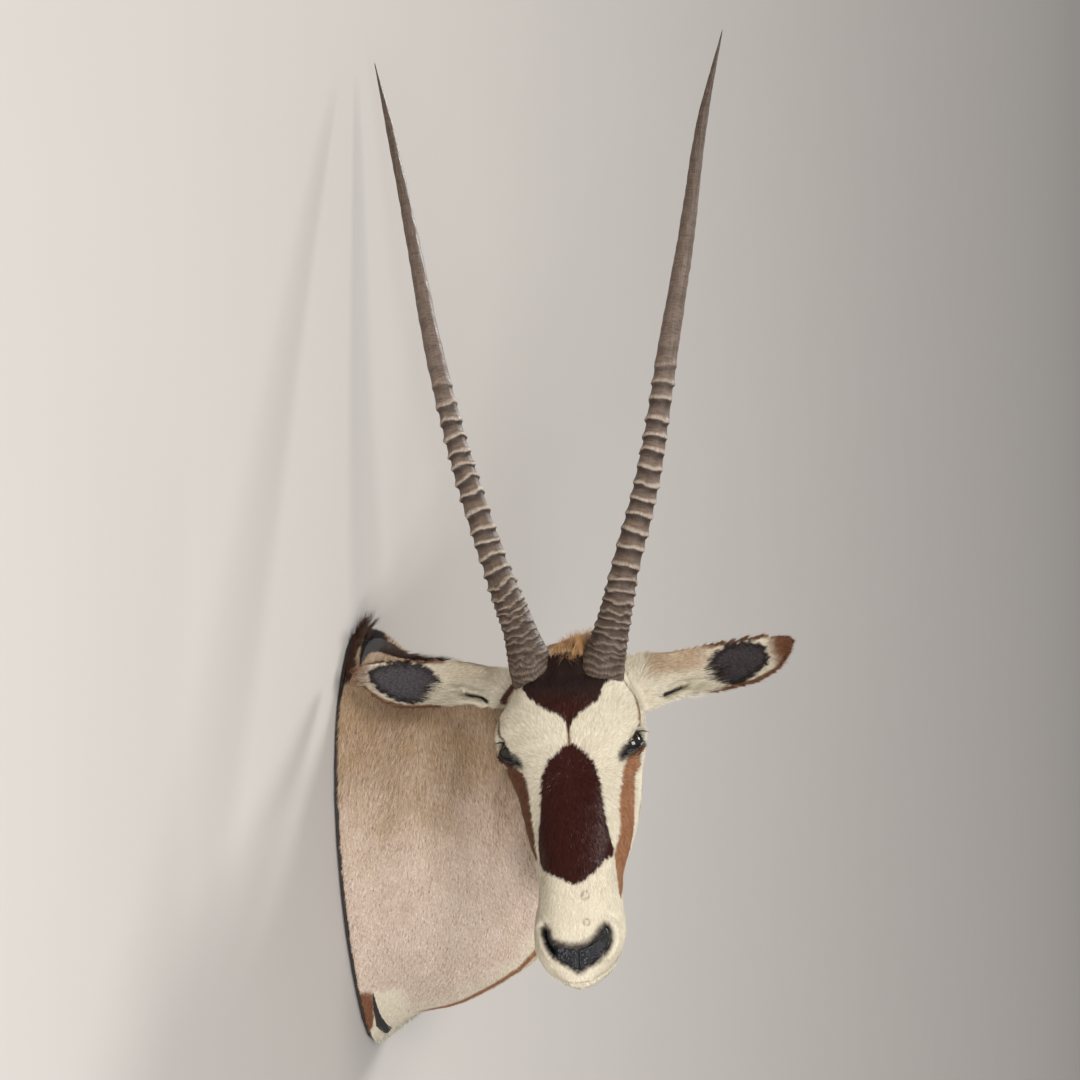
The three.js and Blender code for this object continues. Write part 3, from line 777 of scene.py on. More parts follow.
def coat(points, normals):
    """Share of each colour of the coat at points on the hide."""
    head = to_head(points)
    u, v, w = head.T
    wide = np.abs(v)
    wrap = wrap_of(v, w)
    jag = 0.9 * ripple(points / MM, 4.5, 11)
    slow = ripple(points / MM, 45, 12)
    across, ear = ear_place(u, v, w)
    faces_out = normals @ HEAD_AXES[2]
    inner = ear * smooth(0.05, 0.35, faces_out)
    front = smooth(-104, -92, w) * (1 - ear)
    parts = {name: np.zeros(len(points)) for name in COAT_PARTS}

    def lay(name, share):
        parts[name] = np.maximum(parts[name], share)

    crown = inside_by(head[:, :2], CROWN_PATCH) + jag
    round_face = np.stack([u, wrap], axis=1)
    blaze = inside_by(round_face, BLAZE) + jag
    parts["maroon"] = np.maximum(smooth(-0.8, 0.8, crown), smooth(-0.8, 0.8, blaze)) * front
    parting = hump(v + 1, 1.8) * smooth(50, 56, u) * smooth(82, 76, u) * front
    temple = smooth(4.4, 2.8, crease_distance("temple", head) + jag * 0.3 - (v < 0)
                    + smooth(20, 0, u))
    lay("rust", np.maximum(parting, temple))
    # partly the temple line's own dark hair, and on the animal's right side more maroon as painted
    # shade away from the light
    lay("maroon", np.maximum(0.6 * parting, temple * (0.35 + 0.4 * (v < 0))))
    stripe = np.maximum(inside_by(round_face, STRIPE), inside_by(round_face, RIGHT_STRIPE)) + jag
    lay("rust", smooth(-1.2, 1.5, stripe) * front)
    jaw = edge_distance(np.stack([u, np.abs(wrap)], axis=1), JAW_LINE)[0]
    lay("rust", smooth(5, 2, jaw + jag) * smooth(-130, -110, w))

    neck = (1 - face_share(v, w + 5 * slow)) * (1 - ear)
    behind = (smooth(-36, -50, u + 3 * slow - 16 * smooth(-12, -30, v)) * (1 - ear)
              * smooth(70, 50, wide) * smooth(-165, -125, w))
    throat = edge_distance(points / MM, THROAT_LINE / MM)[0]
    low_neck = smooth(0.02, -0.06, points[:, 2])
    pale_belly = smooth(56, 14, throat + 8 * slow + 2 * jag) * low_neck * 0.75
    tip_end = smooth(-0.206, -0.214, points[:, 2] + 0.002 * jag)
    wall_tip = smooth(-0.065, -0.035, points[:, 1]) * tip_end
    parts["tan"] = neck * (1 - 0.9 * np.maximum(pale_belly, wall_tip))
    strip = np.interp(points[:, 2], [-0.272, -0.255, -0.22], [0.002, 0.010, 0.017])
    by_wall = smooth(-0.001, 0.001, points[:, 1] + strip + 0.0007 * jag) * tip_end
    rust_half = np.interp(points[:, 1], [-0.2, -0.1], [6, 9])
    lay("rust", neck * smooth(4, -2, throat - rust_half + jag) * (1 - wall_tip) * low_neck)
    lay("rust", by_wall * neck)
    lay("maroon", 0.45 * by_wall * neck)
    parts["umber"] = dark_crest(points, 2 * jag) * neck
    parts["nape"] = behind * (1 - parts["umber"])
    upper_root = ear * smooth(-0.2, 0.4, across) * smooth(190, 140, wide)
    lay("tan", np.maximum(0.4 * ear * (1 - inner), (0.35 + 0.5 * (v > 0)) * upper_root))

    patches = np.where(v > 0, inside_by(head[:, :2], PATCH_LEFT_EAR),
                       inside_by(head[:, :2], PATCH_RIGHT_EAR))
    parts["charcoal"] = inner * smooth(-2.0, 2.0, patches + 2 * jag)
    brown = smooth(10, 2, patches + 2 * jag) + 0.5 * (v > 0)
    lay("umber", parts["charcoal"])
    parts["charcoal"] *= 1 - 0.8 * np.minimum(brown, 1)
    # the crown's own near-black hair, darkened further towards the horns as painted shade beneath
    # them
    lay("umber", 0.85 * smooth(-1, 1, crown) * smooth(34, 4, u) * front)
    rim = smooth(0.78, 0.9, np.abs(across) + 0.02 * jag) * smooth(150, 172, wide)
    tip = smooth(30, 6, np.where(v > 0, 258, 270) - wide + 2 * jag + 4 * slow)
    lay("rust", np.maximum(rim, tip) * ear)

    lids, lower = lid_skin(head)
    pad = np.where((w > -62) & (u > 262), inside_by(head[:, :2], NOSE_PAD), OUTSIDE)
    parts["bare"] = np.maximum(smooth(-0.5, 0.8, lids), smooth(-2.2, 1.8, pad + jag))
    above = smooth(6, -2, u - 306 + 0.011 * (v + 8) ** 2) * smooth(44, 36, np.abs(v + 8))
    reach = 5.5 + 4.5 * above
    fuzz = smooth(-1, -0.1, (pad + 0.7 * jag) / reach)
    shadow = smooth(-1, -0.25, (lids + 0.7 * jag) / (0.8 + 7 * lower)) * (0.95 - 0.1 * lower)
    lay("umber", np.maximum((0.7 + 0.25 * above) * fuzz, shadow))
    for bu, bv, radius in BLEMISHES:
        off = np.hypot(u - bu, v - bv)
        ring = hump(off - radius + 0.6 * jag, 1.1) * (w > -30) * (0.45 + 0.35 * jag)
        lay("umber", np.clip(ring, 0, 0.7))
    # painted shade: charcoal along the mouth line and the ear slits darkens these creases as shade
    lay("charcoal", np.maximum(0.45 * hump(crease_distance("mouth", head), 1.7),
                               smooth(5.0, 3.0, crease_distance("ear_slit", head))))
    # painted shade: rust on the animal's right side, away from the light, is darkened towards
    # maroon
    shaded_right_side = smooth(-20, -30, v) * front
    lay("maroon", 0.7 * parts["rust"] * shaded_right_side)
    lay("maroon", 0.6 * parts["rust"] * ear)
    low = smooth(0.16, -0.12, points[:, 2] + 0.02 * slow)
    parts["mottle"] = np.clip(low * 0.85 + 0.06 * ripple(points / MM, 30, 13), 0, 1)
    return parts


# ---------------------------------------------------------------- hair

def store(mesh, name, values):
    """Keeps a number for each point of the mesh, for its material."""
    attribute = mesh.attributes.new(name, "FLOAT", "POINT")
    attribute.data.foreach_set("value", np.asarray(values, np.float32))


def store_coat(mesh, parts, shade, along, repeat=1):
    """Keeps the coat's colours, each one's shade and the way along the hair."""
    for name in COAT_PARTS:
        store(mesh, name, np.repeat(parts[name], repeat))
    store(mesh, "shade", shade)
    store(mesh, "along", along)


def drift(points, size, seeds):
    """A smooth random way at each point, with lumps as large as size in millimetres."""
    return np.stack([ripple(points / MM, size, seed) for seed in seeds], axis=1)


def in_skin(lie, normals, share=1.0):
    """A way laid down into the skin, by share of its rise."""
    return lie - (lie * normals).sum(axis=1, keepdims=True) * normals * share


def hair_flow(points, normals):
    """The way hair lies at points on the hide, as unit vectors in the skin."""
    u, v, w = to_head(points).T
    side = np.sign(v)
    zero = np.zeros_like(u)
    down_face, leftwards, outwards = HEAD_AXES
    across, ear = ear_place(u, v, w)
    on_face = face_share(v, w)
    radial = np.stack([u - 108, 0.75 * (v + 4), -0.014 * v * v], axis=1)
    face = radial @ HEAD_AXES
    to_head_side = smooth(-0.1, -0.2, points[:, 1])
    neck = np.stack([zero, 0.3 - 0.62 * to_head_side, zero - 1], axis=1)
    lie = unit(face) * on_face[:, None] + unit(neck) * (1 - on_face)[:, None]
    behind = (smooth(-30, -48, u) * (1 - ear))[:, None]
    lie = lie * (1 - behind) + (-outwards * 0.8 - down_face * 0.6) * behind
    tipwards = side[:, None] * leftwards + (-0.25 * across)[:, None] * down_face * side[:, None]
    lie = lie * (1 - ear)[:, None] + tipwards * ear[:, None]
    lie += 0.09 * drift(points, 26, (21, 22, 23))
    return unit(in_skin(lie, normals))


def surface_of(pieces):
    """Corners, corner normals and areas of the pieces' triangles, all together."""
    corners, normals = [], []
    for piece in pieces:
        faces = triangles(piece.data)
        corners.append(coordinates(piece.data)[faces])
        normals.append(vertex_normals(piece.data)[faces])
    corners, normals = np.concatenate(corners), np.concatenate(normals)
    cross = np.cross(corners[:, 1] - corners[:, 0], corners[:, 2] - corners[:, 0])
    return corners, normals, np.linalg.norm(cross, axis=1) / 2


def scatter(surface, density, count, seed):
    """Roots of hairs, spread over the surface as thickly as density says, and the normals."""
    corners, normals, areas = surface
    chance = np.random.default_rng(seed)
    weight = areas * density(corners.mean(axis=1), unit(normals.mean(axis=1)))
    face = chance.choice(len(areas), count, p=weight / weight.sum())
    share = chance.random((count, 2))
    share[share.sum(axis=1) > 1] = 1 - share[share.sum(axis=1) > 1]
    mix = np.stack([1 - share.sum(axis=1), share[:, 0], share[:, 1]], axis=1)[:, :, None]
    return (corners[face] * mix).sum(axis=1), unit((normals[face] * mix).sum(axis=1))


def grow(name, roots, normals, lie, length, width, lift, droop=0.0, parts=None, steps=1,
         seed=0, sink=0.4, spread=0.35):
    """Hairs as flat tapering blades, each in 2 * steps - 1 triangles. length, width and sink,
    the depth of the root in the skin, are in millimetres, lift is the rise at the root for
    each unit along, droop bends the tip back, and spread scatters the light across."""
    chance = np.random.default_rng(seed)
    count = len(roots)
    length = np.broadcast_to(length, count) * chance.uniform(0.72, 1.2, count) * MM
    lift = np.broadcast_to(lift, count) * chance.uniform(0.4, 1.6, count)
    side = unit(np.cross(lie, normals))
    swing = chance.normal(0, 0.14, (count, 1))
    lie = unit(lie + swing * side)
    side = unit(np.cross(lie, normals))
    half = (np.broadcast_to(width, count) / 2 * chance.uniform(0.75, 1.25, count) * MM)[:, None]
    rows, alongs = [], []
    start = roots - normals * sink * MM
    droop = np.broadcast_to(droop, count)[:, None]
    for step in range(steps + 1):
        t = step / steps
        middle = start + length[:, None] * (lie * t + normals * (lift[:, None] * t
                                                                - droop * t * t))
        if step == steps:
            rows.append(middle)
            alongs.append(1.0)
        else:
            rows += [middle - side * half * (1 - t), middle + side * half * (1 - t)]
            alongs += [t, t]
    each = len(rows)
    places = np.stack(rows, axis=1).reshape(-1, 3)
    places[:, 1] = np.minimum(places[:, 1], 0.5 * MM)
    order = []
    for k in range(steps - 1):
        order += [[2 * k, 2 * k + 1, 2 * k + 3], [2 * k, 2 * k + 3, 2 * k + 2]]
    order.append([each - 3, each - 2, each - 1])
    faces = (np.arange(count) * each)[:, None, None] + np.array(order)[None]
    corners = faces.reshape(-1).astype(np.int32)
    mesh = bpy.data.meshes.new(name)
    mesh.vertices.add(len(places))
    mesh.vertices.foreach_set("co", places.astype(np.float32).ravel())
    mesh.loops.add(len(corners))
    mesh.loops.foreach_set("vertex_index", corners)
    mesh.polygons.add(len(corners) // 3)
    mesh.polygons.foreach_set("loop_start", np.arange(0, len(corners), 3, dtype=np.int32))
    mesh.polygons.foreach_set("use_smooth", np.ones(len(corners) // 3, bool))
    mesh.update(calc_edges=True)
    mesh.validate()
    lit = unit(normals + spread * chance.normal(0, 1, (count, 1)) * side
               - 0.25 * np.maximum(lift, 0.2)[:, None] * lie)
    mesh.normals_split_custom_set_from_vertices(np.repeat(lit, each, axis=0).tolist())
    locks = 0.5 + 0.5 * ripple(roots / MM * [1, 1, 0.5], 3.4, 71)
    shade = np.clip(0.75 * chance.random(count) + 0.25 * locks, 0, 1)
    store_coat(mesh, parts, np.repeat(shade, each), np.tile(alongs, count), each)
    lay_out(mesh, roots, corners, each)
    piece = bpy.data.objects.new(name, mesh)
    bpy.context.collection.objects.link(piece)
    return piece


def lay_out(mesh, roots, corners, each):
    """A UV map with a cell of its own for each hair, neighbours on the hide side by side."""
    count = len(roots)
    cells = math.ceil(math.sqrt(count))
    order = np.lexsort((roots[:, 1] + roots[:, 0], np.floor(roots[:, 2] / (4 * MM))))
    cell = np.empty(count, int)
    cell[order] = np.arange(count)
    hair = corners // each
    in_hair = corners % each
    x = 0.15 + 0.7 * (in_hair % 2) * (in_hair < each - 1) + 0.35 * (in_hair == each - 1)
    y = 0.15 + 0.7 * (in_hair // 2) / max(each // 2, 1)
    uv = np.stack([(cell[hair] % cells + x) / cells, (cell[hair] // cells + y) / cells], axis=1)
    layer = mesh.uv_layers.new(name="OFBake")
    layer.uv.foreach_set("vector", uv.astype(np.float32).ravel())


HORN_ROOTS = {}  # horn centrelines and radii, filled in by the horns


def clear_of_horns(points):
    """1 where skin is free of both horns, and 0 inside them."""
    free = np.ones(len(points))
    for line, radii in HORN_ROOTS.values():
        near = np.linalg.norm(points[:, None] - line[None, ::3], axis=2)
        best = near.argmin(axis=1)
        free *= near[np.arange(len(points)), best] > radii[::3][best] - 1.0 * MM
    return free


def hairy(points, normals):
    """1 where short hair grows: not on bare skin, in the eyes, on the rear or in the horns."""
    head = to_head(points)
    rear = (normals[:, 1] > 0.6) & (points[:, 1] > -0.03)
    parts = coat(points, normals)
    grows = (1 - parts["bare"]) * ~rear
    for name in EYES:
        local = in_eye(name, head)
        grows = grows * ~((np.linalg.norm(local, axis=1) < EYE_RADIUS + 0.6)
                          | ((np.hypot(local[:, 0], local[:, 1]) < 16) & (local[:, 2] < 17)
                             & (local[:, 2] > -4)))
    close = (np.abs(head[:, 1]) < 75) & (head[:, 0] < 40) & (head[:, 0] > -70)
    clear = np.ones(len(points))
    clear[close] = clear_of_horns(points[close])
    return grows * clear


def regions(points):
    """Shares of ear, face and neck at each point."""
    u, v, w = to_head(points).T
    ear = ear_place(u, v, w)[1]
    face = face_share(v, w, -128) * (1 - ear)
    return ear, face, 1 - np.maximum(ear, face)


def face_density(points, normals):
    w = to_head(points)[:, 2]
    return hairy(points, normals) * regions(points)[1] * (0.45 + 0.55 * smooth(-90, -50, w))


def ear_density(points, normals):
    return hairy(points, normals) * regions(points)[0]


def neck_density(points, normals):
    return hairy(points, normals) * regions(points)[2]


COLOUR_PLACE = 0.7  # the share of a hair's length above the skin whose colour it takes


def short_hair(name, roots, normals, length, width, lift, seed, spread=0.35):
    """Hair that lies along the hide, each in the colour of the skin below its outer half, so
    that a marking ends where its outline does."""
    lie = hair_flow(roots, normals)
    below = roots + lie * np.reshape(length, (-1, 1)) * COLOUR_PLACE * MM
    return grow(name, roots, normals, lie, length, width, lift, parts=coat(below, normals),
                seed=seed, spread=spread)


def face_hair(surface, count, seed):
    """Short sleek hair, shorter still on the nose."""
    roots, normals = scatter(surface, face_density, count, seed)
    head = to_head(roots)
    pad = np.where(head[:, 2] > -75, inside_by(head[:, :2], NOSE_PAD), OUTSIDE)
    length = 7.2 - 2.6 * smooth(225, 285, head[:, 0]) - 2.0 * smooth(-9, 0, pad)
    return short_hair("face_hair", roots, normals, length, width=0.58, lift=0.18, seed=seed,
                      spread=0.2)


def neck_hair(name, surface, count, seed):
    """Hair of the neck, longest at its top and shortest at the tip of the skin."""
    roots, normals = scatter(surface, neck_density, count, seed)
    height = roots[:, 2]
    length = 6.3 + 3.2 * smooth(-0.05, 0.12, height) - 2.0 * smooth(-0.24, -0.27, height)
    return short_hair(name, roots, normals, length, width=0.62, lift=0.17, seed=seed)


def ear_hair(surface, count, seed):
    """Hair of the ears, shorter on their dark patches."""
    roots, normals = scatter(surface, ear_density, count, seed)
    length = 7.5 - 3.0 * coat(roots, normals)["charcoal"]
    return short_hair("ear_hair", roots, normals, length, width=0.55, lift=0.18, seed=seed)


def only(count, **shares):
    """A coat of one colour, for hair that doesn't take the colour of its skin."""
    return {name: np.full(count, shares.get(name, 0.0)) for name in COAT_PARTS}


THICK_SPIKE, THIN_SPIKE = -0.066, -0.044  # where they stand, across the camera's view
SPIKE_HALF = 0.0012  # half width of the thin spike


def across_view(points):
    """How far points lie to the right in the camera's view, which looks askew along the wall."""
    return points[:, 0] - 2.5 * points[:, 1]


TUFT_LIE = np.array([0.05, -0.32, 1.0])  # the way the tufts by the wall stand


def mane(surface, count, seed):
    """Stiff hair along the crest, combed towards the head, and standing up in two tufts where
    it meets the wall."""
    def density(points, normals):
        at_wall = smooth(-0.012, -0.008, points[:, 1])
        on_view = across_view(points)
        tuft_end = (at_wall * smooth(0.175, 0.19, points[:, 2])
                    * ((on_view < -0.058) + (np.abs(on_view - THIN_SPIKE) < SPIKE_HALF)))
        share = np.where(points[:, 1] > -0.012, tuft_end, dark_crest(points, 0))
        return share * (1 + at_wall) * hairy(points, normals) * (regions(points)[2] > 0.2)
    roots, normals = scatter(surface, density, count, seed)
    near = np.linalg.norm(roots[:, None] - CREST_LINE[None], axis=2).argmin(axis=1)
    along = unit(np.gradient(CREST_LINE, axis=0))[near]
    tuft = smooth(-0.016, -0.01, roots[:, 1])
    on_view = across_view(roots)
    thick_spike = tuft * hump(on_view - THICK_SPIKE, 0.005)
    thin_spike = tuft * (np.abs(on_view - THIN_SPIKE) < SPIKE_HALF)
    messy = drift(roots, 9, (33, 36, 37))
    lie = along * (1 - tuft)[:, None] + tuft[:, None] * TUFT_LIE
    lie = lie + thin_spike[:, None] * np.array([0.0, -0.8, 0.0])
    lie = in_skin(lie + (0.3 - 0.1 * tuft)[:, None] * messy, normals, (1 - 0.8 * tuft)[:, None])
    length = (17 - 3 * tuft) + 2 * messy[:, 0] + 27 * thick_spike + 16 * thin_spike
    parts = only(len(roots), rust=1.0, umber=0.88)
    return grow("mane", roots, normals, unit(lie), np.clip(length, 6, 44), width=0.5,
                lift=0.5 - 0.43 * tuft, droop=0.12, parts=parts, steps=3, seed=seed, sink=1.0,
                spread=0.9)


def nape_tuft(surface, count, seed):
    """Loose tan hair behind and between the horns."""
    def density(points, normals):
        u, v, w = to_head(points).T
        return (smooth(-23, -37, u) * smooth(40, 30, np.abs(v)) * (w > -88)
                * hairy(points, normals))
    roots, normals = scatter(surface, density, count, seed)
    to_left = smooth(-30, 30, to_head(roots)[:, 1])
    lie = (0.35 * HEAD_AXES[1] - 0.8 * HEAD_AXES[0] - 0.3 * HEAD_AXES[2]
           + 0.6 * drift(roots, 16, (31, 34, 35)))
    return grow("nape_tuft", roots, normals, unit(in_skin(lie, normals)), 15 + 9 * to_left,
                width=0.6, lift=0.3 + 0.6 * to_left, droop=0.4,
                parts=only(len(roots), nape=1.0), steps=3, seed=seed, sink=1.0)


def ear_fringes(surface, count, seed):
    """Long pale hair inside the ears, and ragged rusty hair on their rims and tips."""
    def density(points, normals):
        u, v, w = to_head(points).T
        across, ear = ear_place(u, v, w)
        wide = np.abs(v)
        inner = normals @ HEAD_AXES[2] > 0.1
        lower = (inner * smooth(118, 140, wide) * smooth(180, 156, wide)
                 * smooth(0.3, -0.2, across))
        rim = smooth(0.8, 0.95, np.abs(across)) * smooth(150, 175, wide)
        return ear * (0.8 * lower + 0.45 * rim + 1.2 * smooth(245, 256, wide))
    roots, normals = scatter(surface, density, count, seed)
    u, v, w = to_head(roots).T
    across = ear_place(u, v, w)[0]
    tip = smooth(235, 252, np.abs(v))
    rim = smooth(0.78, 0.92, np.abs(across)) * (np.abs(v) > 145)
    lie = hair_flow(roots, normals) + 0.45 * (rim * -across)[:, None] * HEAD_AXES[0]
    parts = coat(roots, normals)
    parts["charcoal"] *= 0.15
    length = np.where(rim + tip > 0.5, 5.5 + 4 * tip, 18.0)
    return grow("ear_fringes", roots, normals, unit(lie), length, width=0.55, lift=0.24,
                droop=0.05, parts=parts, steps=3, seed=seed, sink=0.6)


def wall_tufts(surface, count, seed):
    """Loose ends of hair at the lowest tip of the skin, where it hangs below the board."""
    def density(points, normals):
        return (smooth(-0.262, -0.28, points[:, 2]) * smooth(-0.06, -0.03, points[:, 1])
                * hairy(points, normals))
    roots, normals = scatter(surface, density, count, seed)
    lie = unit(np.array([0.0, -0.25, -1.0]) + 0.1 * normals)
    return grow("throat_tuft", roots, normals, lie, 6, width=0.6, lift=0.05,
                parts=coat(roots, normals), steps=2, seed=seed, sink=0.6)


# ---------------------------------------------------------------- hair material

HAIR_TONES = {  # from the darkest hairs to the lightest
    "cream": ("#b5a88a", "#f0e9d8"), "tan": ("#70553f", "#c7ab88"),
    "grey": ("#8f7a69", "#f6e4d3"), "nape": ("#8f6640", "#cba070"),
    "rust": ("#5e3420", "#b5835c"), "maroon": ("#0a0302", "#47190f"),
    "umber": ("#0a0605", "#2a1913"), "charcoal": ("#1a1716", "#625d60"),
}


def coat_material():
    """Tanned gemsbok hide in its hair: short keratin hair with a soft gloss, cream, tan and
    rust, and a deeper gloss on the dark blaze; the bare skin of nose and lids is slate black
    and satin, with a grain of about 1.5 mm."""
    material, tree, out = new_material("tanned gemsbok hide in its hair")
    share = {name: add(tree, "Attribute", attribute_name=name).outputs["Fac"]
             for name in COAT_PARTS + ("shade", "along")}
    place = add(tree, "TexCoord").outputs["Object"]
    tone = {name: add(tree, "Mix", {0: share["shade"], 6: linear(dark), 7: linear(light)},
                      data_type="RGBA").outputs[2]
            for name, (dark, light) in HAIR_TONES.items()}
    speck = add(tree, "MapRange", {"Value": share["shade"], "From Min": 0.18,
                                   "From Max": 0.1}).outputs[0]
    for amount, over in ((share["mottle"], tone["grey"]), (speck, linear("#6b574b"))):
        tone["tan"] = add(tree, "Mix", {0: amount, 6: tone["tan"], 7: over},
                          data_type="RGBA").outputs[2]
    colour = tone["cream"]
    for name in ("tan", "nape", "rust", "maroon", "umber", "charcoal"):
        colour = add(tree, "Mix", {0: share[name], 6: colour, 7: tone[name]},
                     data_type="RGBA").outputs[2]
    # painted shade: each hair is darker towards its root, as shade deep in the coat
    depth = add(tree, "MapRange", {"Value": share["along"], "To Min": 0.76, "To Max": 1.06})
    colour = add(tree, "VectorMath", {0: colour, "Scale": depth.outputs[0]},
                 operation="SCALE").outputs[0]
    colour = add(tree, "Mix", {0: share["bare"], 6: colour, 7: linear("#0b0c10")},
                 data_type="RGBA").outputs[2]
    sleek = add(tree, "Math", {0: share["maroon"], 1: share["umber"]}, operation="SUBTRACT")
    gloss = add(tree, "MapRange", {"Value": sleek.outputs[0], "From Min": -1.0,
                                   "To Min": 0.95, "To Max": 0.28})
    rough = add(tree, "Mix", {0: share["bare"], 2: gloss.outputs[0], 3: 0.25},
                data_type="FLOAT").outputs[0]
    grain = add(tree, "TexVoronoi", {"Vector": place, "Scale": 1 / (1.5 * MM)})
    pores = add(tree, "Math", {0: grain.outputs["Distance"], 1: share["bare"]},
                operation="MULTIPLY")
    bump = add(tree, "Bump", {"Height": pores.outputs[0], "Strength": 0.8, "Distance": 0.5 * MM})
    skin = add(tree, "BsdfPrincipled", {"Base Color": colour, "Roughness": rough,
                                        "Normal": bump.outputs[0], "IOR": 1.55,
                                        "Specular IOR Level": 0.17})
    tree.links.new(skin.outputs[0], out.inputs["Surface"])
    return material


# ---------------------------------------------------------------- horns

ROOT_LENGTH = 32  # mm of each centreline that lies inside the hide
RIGHT_HORN = [  # u, v, w and mean radius
    [8, -39, -56, 22], [-24, -43.5, -21.5, 23.6], [-65, -53, -10.5, 19.6],
    [-143, -76, 0.4, 15.6], [-273, -108.5, 17.2, 13.6], [-416, -134.5, 33.7, 10.9],
    [-561, -153, 48.4, 7.7], [-711, -174, 61.4, 4.6], [-803, -189.3, 68.2, 0.4],
]
LEFT_HORN = [
    [15, 35, -58, 22], [-16, 40, -21.5, 23.6], [-36, 47, -14.7, 22], [-75, 60.5, -9.1, 18.6],
    [-127, 76, -1.8, 16.4], [-233, 112, 12.3, 14.6], [-396, 151, 31.6, 12],
    [-523, 182, 44.8, 9.4], [-668, 213.5, 57.9, 6.4], [-789.4, 249.5, 67.3, 0.4],
]
# Heights of the ring lips above the skin, in mm.
RIGHT_RINGS = [-22, -17.5, -13, -9, -5, -1, 3, 7, 11.5, 16, 21, 26, 32, 40, 49, 58.5, 70, 79,
               88.5, 96.5, 107.7, 121.5, 138.5, 156.3, 174, 191, 213, 236, 255.5, 272.5, 290,
               310, 331, 351.5, 377]
LEFT_RINGS = [-23, -18, -13, -9, -4.5, 0, 4, 8.5, 13, 17.5, 22.5, 28, 34, 41, 48, 57.8, 66.8,
              76.8, 85.7, 97, 109, 123, 141, 162.6, 181.6, 202, 222, 240, 259, 279.5, 298.5,
              319, 344, 365, 388]
HORN_AROUND = 56
RING_ROW = 0.95  # mm between rows of the mesh among the rings
PLAIN_ROW = 4.5  # and above them


def horn_line(keys):
    """Centreline, mean radius and length along it, finely sampled."""
    keys = np.asarray(keys, float)
    shares = np.linspace(0, 1, 600)
    line = spline(keys[:, :3], shares)
    radius = np.interp(shares * (len(keys) - 1), np.arange(len(keys)), keys[:, 3])
    gone = np.concatenate([[0], np.cumsum(np.linalg.norm(np.diff(line, axis=0), axis=1))])
    return from_head(line), radius, gone


def ring_profile(height, rings):
    """The stand-out of the rings at each height, from -1 to 1, and how deep in a groove."""
    rings = np.asarray(rings + [rings[-1] + 26, rings[-1] + 55, rings[-1] + 90], float)
    index = np.clip(np.searchsorted(rings, height, side="right") - 1, 0, len(rings) - 2)
    low, high = rings[index], rings[index + 1]
    gap = high - low
    above = np.clip((height - low) / gap, 0, 1) * gap
    below = gap - above
    lip_above = np.exp(-np.square(above / (0.19 * gap + 0.8)))
    lip_below = np.exp(-np.square(below / (0.11 * gap + 0.8)))
    profile = -0.75 + 1.75 * np.maximum(lip_above, lip_below) - 0.25 * hump(below - 0.3 * gap,
                                                                           0.15 * gap)
    groove = smooth(0.3, 0.8, above / gap) * smooth(0.7, 2.4, below)
    return profile, groove


